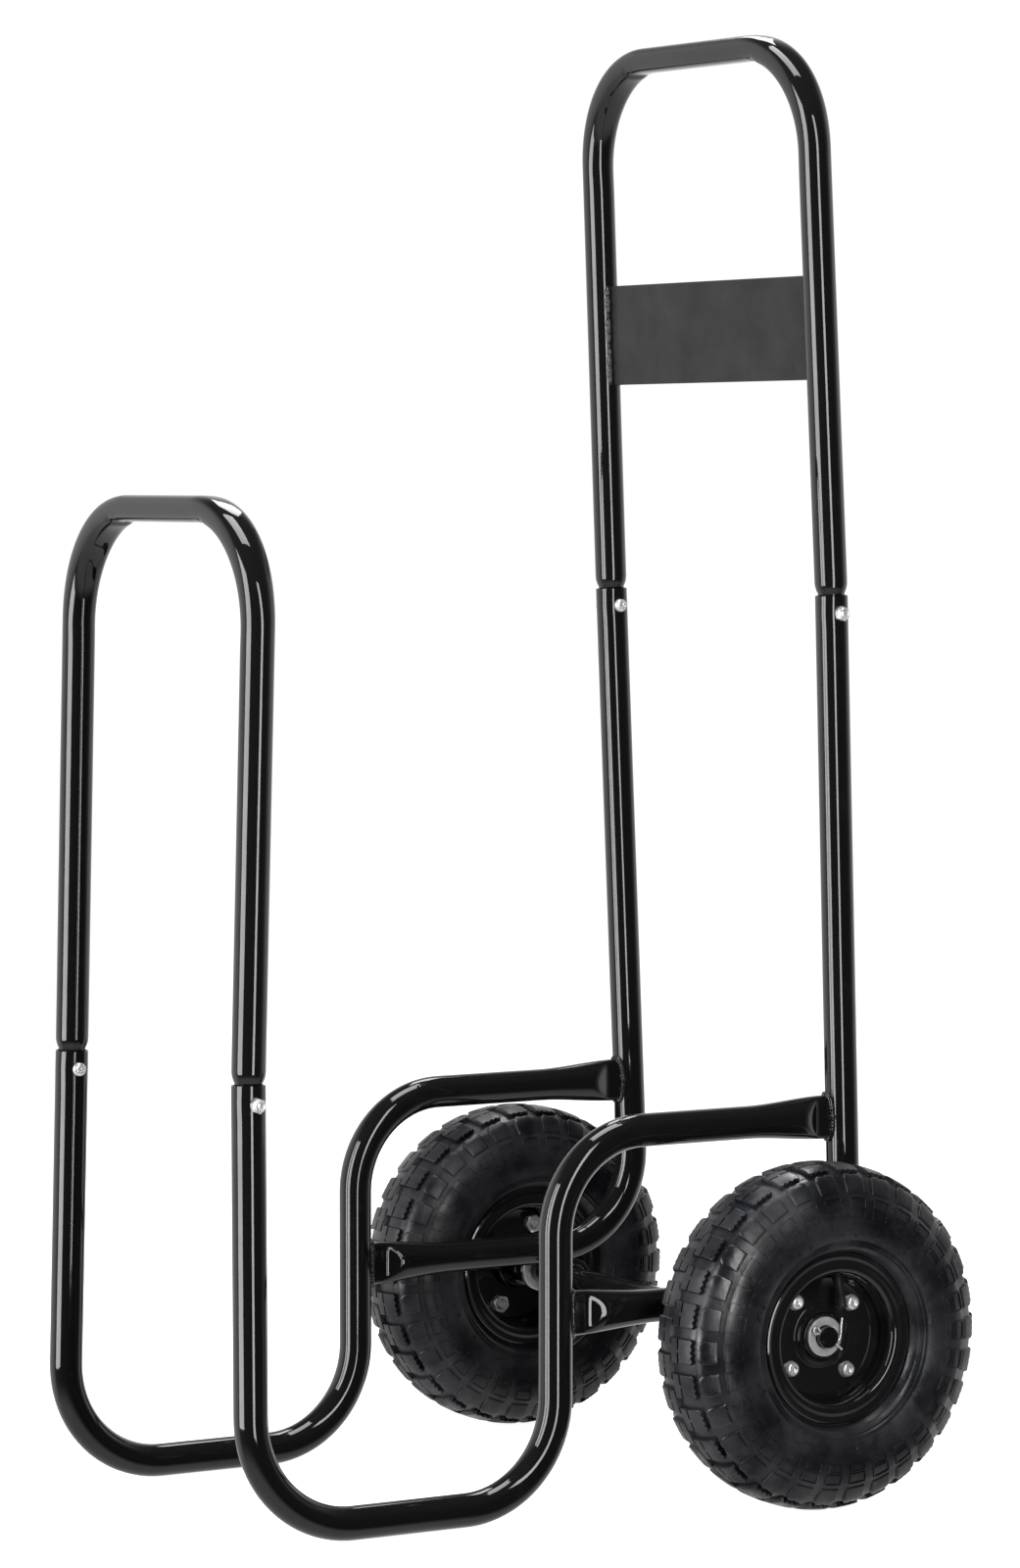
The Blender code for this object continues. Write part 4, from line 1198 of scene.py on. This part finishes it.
def tyre_mesh():
    build = Build()
    # carcass, sidewalls, beads and inner face as one turned shell
    degs = list(np.arange(-124, 124.1, 2.0))
    prof = []
    for d in degs:
        phi = math.radians(d)
        r, x = envelope(np.array(phi))
        e = 1e-3
        r1, x1 = envelope(np.array(phi + e))
        r0, x0 = envelope(np.array(phi - e))
        ln = math.hypot(float(r1 - r0), float(x1 - x0))
        nr, nx = float(x1 - x0) / ln, -float(r1 - r0) / ln
        h = floor_height(phi)
        ad = abs(d)
        if abs(ad - 92) < 1.1:
            h -= 0.0003
        if abs(ad - 114) < 1.1:
            h += 0.0007
        if abs(ad - 118) < 1.1:
            h += 0.0005
        prof.append((float(r) + nr * h, float(x) + nx * h))
    # section runs from -124 to +124; close it through the beads
    prof = [(r, x) for r, x in prof]
    tail = [(0.0645, 0.0268), (0.0600, 0.0264), (0.0535, 0.0261), (0.0514, 0.0225), (0.0514, 0.0175)]
    inner = [(MID_R - 0.0005 + 0.0330 * math.cos(a), 0.0335 * math.sin(a)) for a in np.radians(np.linspace(118, -118, 25))]
    loop = prof + tail + inner + [(r, -x) for r, x in reversed(tail)]
    v, f = revolve(loop, 180, (0, 0, 0), 1)
    build.put(v, f)
    first = math.radians(8.0)
    for k in range(30):
        a = first + k * PITCH
        b = a + PITCH * 0.5
        crown_block(build, a, 1)
        crown_block(build, b, -1)
        shoulder_block(build, a, 1)
        shoulder_block(build, b, -1)
        for start, sign in ((a, 1), (b, -1)):
            outline_frame(build, start, sign, 66.0, 78.2)
            outline_frame(build, start, sign, 79.8, 88.0)
    for sign, list_of in ((1, (13, 49, 83, 121, 163, 205, 248, 292, 328)), (-1, (25, 70, 110, 150, 199, 240, 281, 330))):
        for q in list_of:
            nub(build, math.radians(q), 104.0 + 2.0 * math.sin(q), sign)
        for k in range(26):
            q = k * 360 / 26 + 5.0 * math.sin(2.3 * k + sign)
            nub(build, math.radians(q), 103.5 + 4.0 * math.sin(1.7 * k + sign), sign, 0.0015 if k % 5 == 0 else 0.0008, 0.0005)
    return build


def wheel_frame(verts, centre, sx, spin=0.0):
    """Places points made about the origin with +X outboard."""
    v = np.array(verts, float)
    c, s = math.cos(spin), math.sin(spin)
    y = v[:, 1] * c - v[:, 2] * s
    z = v[:, 1] * s + v[:, 2] * c
    return np.stack([centre[0] + sx * v[:, 0], centre[1] + y, centre[2] + z], 1)


TREAD = tyre_mesh()


# ------------------------------------------------------------------ wheels
def rim_half(outboard):
    """Pressed rim half from the hub hole to the rolled flange, (r, z)."""
    t = 0.0024
    face = GAP / 2 + (RIM_OFFSET if outboard else -RIM_OFFSET)
    if outboard:
        emboss = [
            (0.0178, t + 0.0017), (0.0182, t + 0.0020), (0.0202, t + 0.0020), (0.0207, t + 0.0018), (0.0211, t + 0.0009),
            (0.0216, t + 0.0007), (0.0241, t + 0.0007), (0.0246, t + 0.0005), (0.0250, t + 0.0001), (0.0256, t),
        ]
        root = [(0.0455, face + t + 0.0012), (0.0462, 0.0086), (0.0467, 0.0094)]
    else:
        emboss = [(0.0178, t - 0.0003), (0.0182, t), (0.0226, t), (0.0245, t), (0.0268, t), (0.0287, t)]
        root = [(0.0455, 0.0012), (0.0462, 0.0040), (0.0467, 0.0075)]
    visible = [(r, face + z) for r, z in emboss]
    visible += [
        (0.0418, face + t), (0.0430, face + t + 0.0006), (0.0440, face + t + 0.0007), (0.0447, face + t + 0.0003),
        *root, (0.0472, 0.0104), (0.0476, 0.0113), (0.0478, 0.0122), (0.0475, 0.0132),
        (0.0477, 0.0160), (0.0481, 0.0176), (0.0484, 0.0184), (0.0482, 0.0194), (0.0484, 0.0222), (0.0490, 0.0250),
        (0.0503, 0.0276), (0.0520, 0.0287), (0.0540, 0.0290), (0.0558, 0.0287), (0.0574, 0.0280), (0.0590, 0.0279),
        (0.0604, 0.0284), (0.0618, 0.0288), (0.0628, 0.0284), (0.0632, 0.0276), (0.0629, 0.0270), (0.0620, 0.0268),
    ]
    back = [
        (0.0532, 0.0267), (0.0512, 0.0250), (0.0506, 0.0228), (0.0500, 0.0150), (0.0494, 0.0100),
        (0.0476, face + 0.0036), (0.0450, face), (0.0178, face),
    ]
    return visible + back


def punched(name, profile, steps, centre, sx, mat, replaced, body, valve=None):
    v, f = revolve(profile, steps, (0, 0, 0), 1)
    return make(name, wheel_frame(v, centre, sx), f, mat, body, replaced, 34.0)


for side, sx, phase, valve_angle in (
    ("left", 1, LEFT_PHASE, VALVE_LEFT),
    ("right", -1, RIGHT_PHASE, VALVE_RIGHT),
):
    BODY = "wheel_" + side
    centre = Vector((sx * WHEEL_X, AXLE_Y, AXLE_Z))
    spin = 0.0 if sx > 0 else math.radians(4.0)
    v = wheel_frame(TREAD.v, centre, sx, spin)
    make("tyre_%s_vis" % side, v, TREAD.f, TYRE, BODY, ("tyre_" + side,), 42.0)
    punched("rim_outer_%s_vis" % side, rim_half(True), 144, centre, sx, RIM, ("rim_outer_" + side,), BODY)
    punched("rim_inner_%s_vis" % side, rim_half(False), 144, centre, -sx, RIM, ("rim_inner_" + side,), BODY)
    hub = [
        (0.0166, 0.0087), (0.0175, 0.0079), (0.0175, 0.0050), (0.0178, 0.0046), (0.0184, 0.0040), (0.0176, 0.0030),
        (0.0175, -0.0030), (0.0186, -0.0038), (0.0196, -0.0050), (0.0184, -0.0064), (0.0175, -0.0070), (0.0175, -0.0396),
        (0.0168, -0.0405), (0.0143, -0.0405), (0.0143, -0.0309), (0.0110, -0.0309), (0.0110, -0.0009), (0.0143, -0.0009), (0.0143, 0.0087),
    ]
    turn_piece("hub_%s_vis" % side, hub, [0.0006] * 12 + [0.0004] * 7, tuple(centre), sx, RIM, BODY, ("hub_" + side,), 96)
    seat = GAP / 2 + 0.0024 + GAP
    for k in range(4):
        a = math.radians(phase + 90 * k)
        y = centre.y + BOLT_CIRCLE * math.cos(a)
        z = centre.z + BOLT_CIRCLE * math.sin(a)
        wheel_bolt("wheel_bolt_%s_%d_vis" % (side, k + 1), (centre.x + sx * (RIM_OFFSET + seat - 0.0002), y, z), (-sx, 0, 0), "wheel_bolt_%s_%d" % (side, k + 1), 2 * seat + 0.0082)
        wheel_nut("wheel_nut_%s_%d_vis" % (side, k + 1), (centre.x + sx * (RIM_OFFSET - seat + 0.0002), y, z), (-sx, 0, 0), "wheel_nut_%s_%d" % (side, k + 1), math.radians(10 + 17 * k))
    a = math.radians(valve_angle)
    radial = Vector((0, math.cos(a), math.sin(a)))
    out = Vector((sx, 0, 0))
    root = centre + radial * 0.0553 + out * 0.0071
    tip = centre + radial * 0.0235 + out * 0.0265
    way = (tip - root).normalized()
    length = (tip - root).length
    prof = [
        (0.0, 0.0), (0.0050, 0.0), (0.0050, 0.0012), (0.0047, 0.0060), (0.0046, 0.0110), (0.0040, 0.0135), (0.0036, length - 0.0085),
        (0.0037, length - 0.0080), (0.0038, length - 0.0074), (0.0038, length - 0.0012), (0.0033, length - 0.0003), (0.0025, length), (0.0, length),
    ]
    vv, ff = lathe(prof, 28)
    make("valve_stem_%s_vis" % side, oriented(vv, root, way), ff, VALVE, BODY, ("valve_stem_" + side,), 40.0)

# CAD nodes that stay: hidden deep inside the wheels
for name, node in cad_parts.items():
    if name.startswith("inner_tube") or name.startswith("bearing"):
        node.data.materials.clear()
        node.data.materials.append(TUBE if name.startswith("inner_tube") else STEEL)
        node.data.shade_smooth()


# ------------------------------------------------------------------ stage
def stage_material():
    mat, nt, sh = nodes_of("studio_floor")
    soft = noise_tex(nt, 3.0, 2.0)
    nt.links.new(ramp(nt, soft, [(0.0, (0.62, 0.62, 0.62)), (1.0, (0.66, 0.66, 0.66))]), sh.inputs["Base Color"])
    sh.inputs["Roughness"].default_value = 0.9
    sh.inputs["Specular IOR Level"].default_value = 0.1
    sh.inputs["Emission Color"].default_value = (1.0, 1.0, 1.0, 1.0)
    sh.inputs["Emission Strength"].default_value = 0.93
    return mat


bpy.ops.mesh.primitive_plane_add(size=60.0, location=(0, 0, -0.0004))
floor = bpy.context.object
floor.name = "studio_floor"
floor.data.materials.append(stage_material())
floor.visible_glossy = False
floor.visible_diffuse = False

VIEW_DIR = Vector((0.85398, -0.51797, 0.04941)).normalized()
TOWARD = Vector((0.8550, -0.5186, 0)).normalized()
RIGHT = Vector((0.5186, 0.8550, 0)).normalized()


def area_light(name, turn, distance, height, width, tall, radiance, tint=(1, 1, 1)):
    """A soft box placed round the object; turn is degrees to the camera's right."""
    a = math.radians(turn)
    flat = TOWARD * math.cos(a) + RIGHT * math.sin(a)
    data = bpy.data.lights.new(name, "AREA")
    data.shape = "RECTANGLE"
    data.size, data.size_y = width, tall
    data.energy = radiance * width * tall * math.pi
    data.color = tint
    obj = bpy.data.objects.new(name, data)
    bpy.context.scene.collection.objects.link(obj)
    obj.location = Vector((0, 0.05, height)) + flat * distance
    aim = Vector((0, 0.05, height)) - obj.location
    obj.rotation_mode = "QUATERNION"
    obj.rotation_quaternion = aim.to_track_quat("-Z", "Y")
    obj.visible_camera = False
    return obj


area_light("softbox_left", -57, 3.6, 1.05, 2.00, 3.4, 9.3)
area_light("strip_right", 24, 1.95, 0.95, 0.42, 2.4, 10.0)
overhead = area_light("softbox_top", 0, 0.001, 2.90, 1.40, 1.20, 7.5)
overhead.rotation_quaternion = (1.0, 0.0, 0.0, 0.0)
behind = area_light("softbox_rear", 180, 1.9, 2.75, 0.90, 1.00, 7.0)
behind.rotation_quaternion = (Vector((0, 0.05, 0.9)) - behind.location).to_track_quat("-Z", "Y")


def studio_world():
    world = bpy.data.worlds.new("studio")
    bpy.context.scene.world = world
    world.use_nodes = True
    nt = world.node_tree
    nt.nodes.clear()
    out = nt.nodes.new("ShaderNodeOutputWorld")
    coord = nt.nodes.new("ShaderNodeTexCoord")

    def dot(vec):
        node = nt.nodes.new("ShaderNodeVectorMath")
        node.operation = "DOT_PRODUCT"
        node.inputs[1].default_value = vec
        nt.links.new(coord.outputs["Generated"], node.inputs[0])
        return node.outputs["Value"]

    def math_node(op, a, b=None, clamp=False):
        node = nt.nodes.new("ShaderNodeMath")
        node.operation = op
        node.use_clamp = clamp
        for i, q in enumerate((a, b)):
            if q is None:
                continue
            if isinstance(q, (int, float)):
                node.inputs[i].default_value = q
            else:
                nt.links.new(q, node.inputs[i])
        return node.outputs["Value"]

    turn = math_node("ARCTAN2", dot(tuple(RIGHT)), dot(tuple(TOWARD)))
    unit = math_node("ADD", math_node("DIVIDE", turn, 2 * math.pi), 0.5)
    # round the horizon: 0 and 1 lie behind the object, 0.5 behind the camera
    at = lambda deg: deg / 360.0 + 0.5
    g = lambda q: (q, q, q)
    around = ramp(
        nt,
        unit,
        [
            (0.0, g(0.9)), (at(-165), g(0.8)), (at(-140), g(0.95)), (at(-118), g(1.05)), (at(-92), g(1.05)),
            (at(-84), g(0.80)), (at(-79), g(0.20)), (at(-40), g(0.035)), (at(0), g(0.025)), (at(50), g(0.03)),
            (at(78), g(0.06)), (at(95), g(0.30)), (at(108), g(1.0)), (at(170), g(1.0)), (1.0, g(0.9)),
        ],
    )
    up = dot((0, 0, 1))
    high = nt.nodes.new("ShaderNodeMapRange")
    high.interpolation_type = "SMOOTHSTEP"
    high.inputs["From Min"].default_value = 0.30
    high.inputs["From Max"].default_value = 0.80
    nt.links.new(up, high.inputs["Value"])
    mix = nt.nodes.new("ShaderNodeMix")
    mix.data_type = "RGBA"
    nt.links.new(high.outputs["Result"], mix.inputs[0])
    nt.links.new(around, mix.inputs[6])
    mix.inputs[7].default_value = (0.08, 0.08, 0.085, 1.0)
    low = nt.nodes.new("ShaderNodeMapRange")
    low.interpolation_type = "SMOOTHSTEP"
    low.inputs["From Min"].default_value = -0.34
    low.inputs["From Max"].default_value = -0.66
    nt.links.new(up, low.inputs["Value"])
    mix2 = nt.nodes.new("ShaderNodeMix")
    mix2.data_type = "RGBA"
    nt.links.new(low.outputs["Result"], mix2.inputs[0])
    nt.links.new(mix.outputs[2], mix2.inputs[6])
    mix2.inputs[7].default_value = (0.80, 0.80, 0.81, 1.0)
    studio = nt.nodes.new("ShaderNodeBackground")
    nt.links.new(mix2.outputs[2], studio.inputs["Color"])
    studio.inputs["Strength"].default_value = 1.0
    white = nt.nodes.new("ShaderNodeBackground")
    white.inputs["Color"].default_value = (1, 1, 1, 1)
    white.inputs["Strength"].default_value = 1.05
    path = nt.nodes.new("ShaderNodeLightPath")
    both = nt.nodes.new("ShaderNodeMixShader")
    nt.links.new(path.outputs["Is Camera Ray"], both.inputs[0])
    nt.links.new(studio.outputs[0], both.inputs[1])
    nt.links.new(white.outputs[0], both.inputs[2])
    nt.links.new(both.outputs[0], out.inputs["Surface"])


studio_world()

# ------------------------------------------------------------------ camera
cam_data = bpy.data.cameras.new("camera")
cam_data.sensor_fit = "AUTO"
cam_data.sensor_width = 36.0
cam_data.lens = 5635.4 * 36.0 / 1600.0
cam_data.shift_x = -0.0175
cam_data.shift_y = -0.0231
cam_data.clip_end = 200.0
camera = bpy.data.objects.new("camera", cam_data)
bpy.context.scene.collection.objects.link(camera)
camera.location = (3.6174, -2.1181 - 0.0249, 0.7720)
camera.rotation_mode = "QUATERNION"
camera.rotation_quaternion = Vector((-0.85398, 0.51797, -0.04941)).to_track_quat("-Z", "Y")
bpy.context.scene.camera = camera

scene = bpy.context.scene
scene.view_settings.view_transform = "Standard"
scene.view_settings.look = "None"
scene.view_settings.exposure = 0.0
scene.view_settings.gamma = 1.0
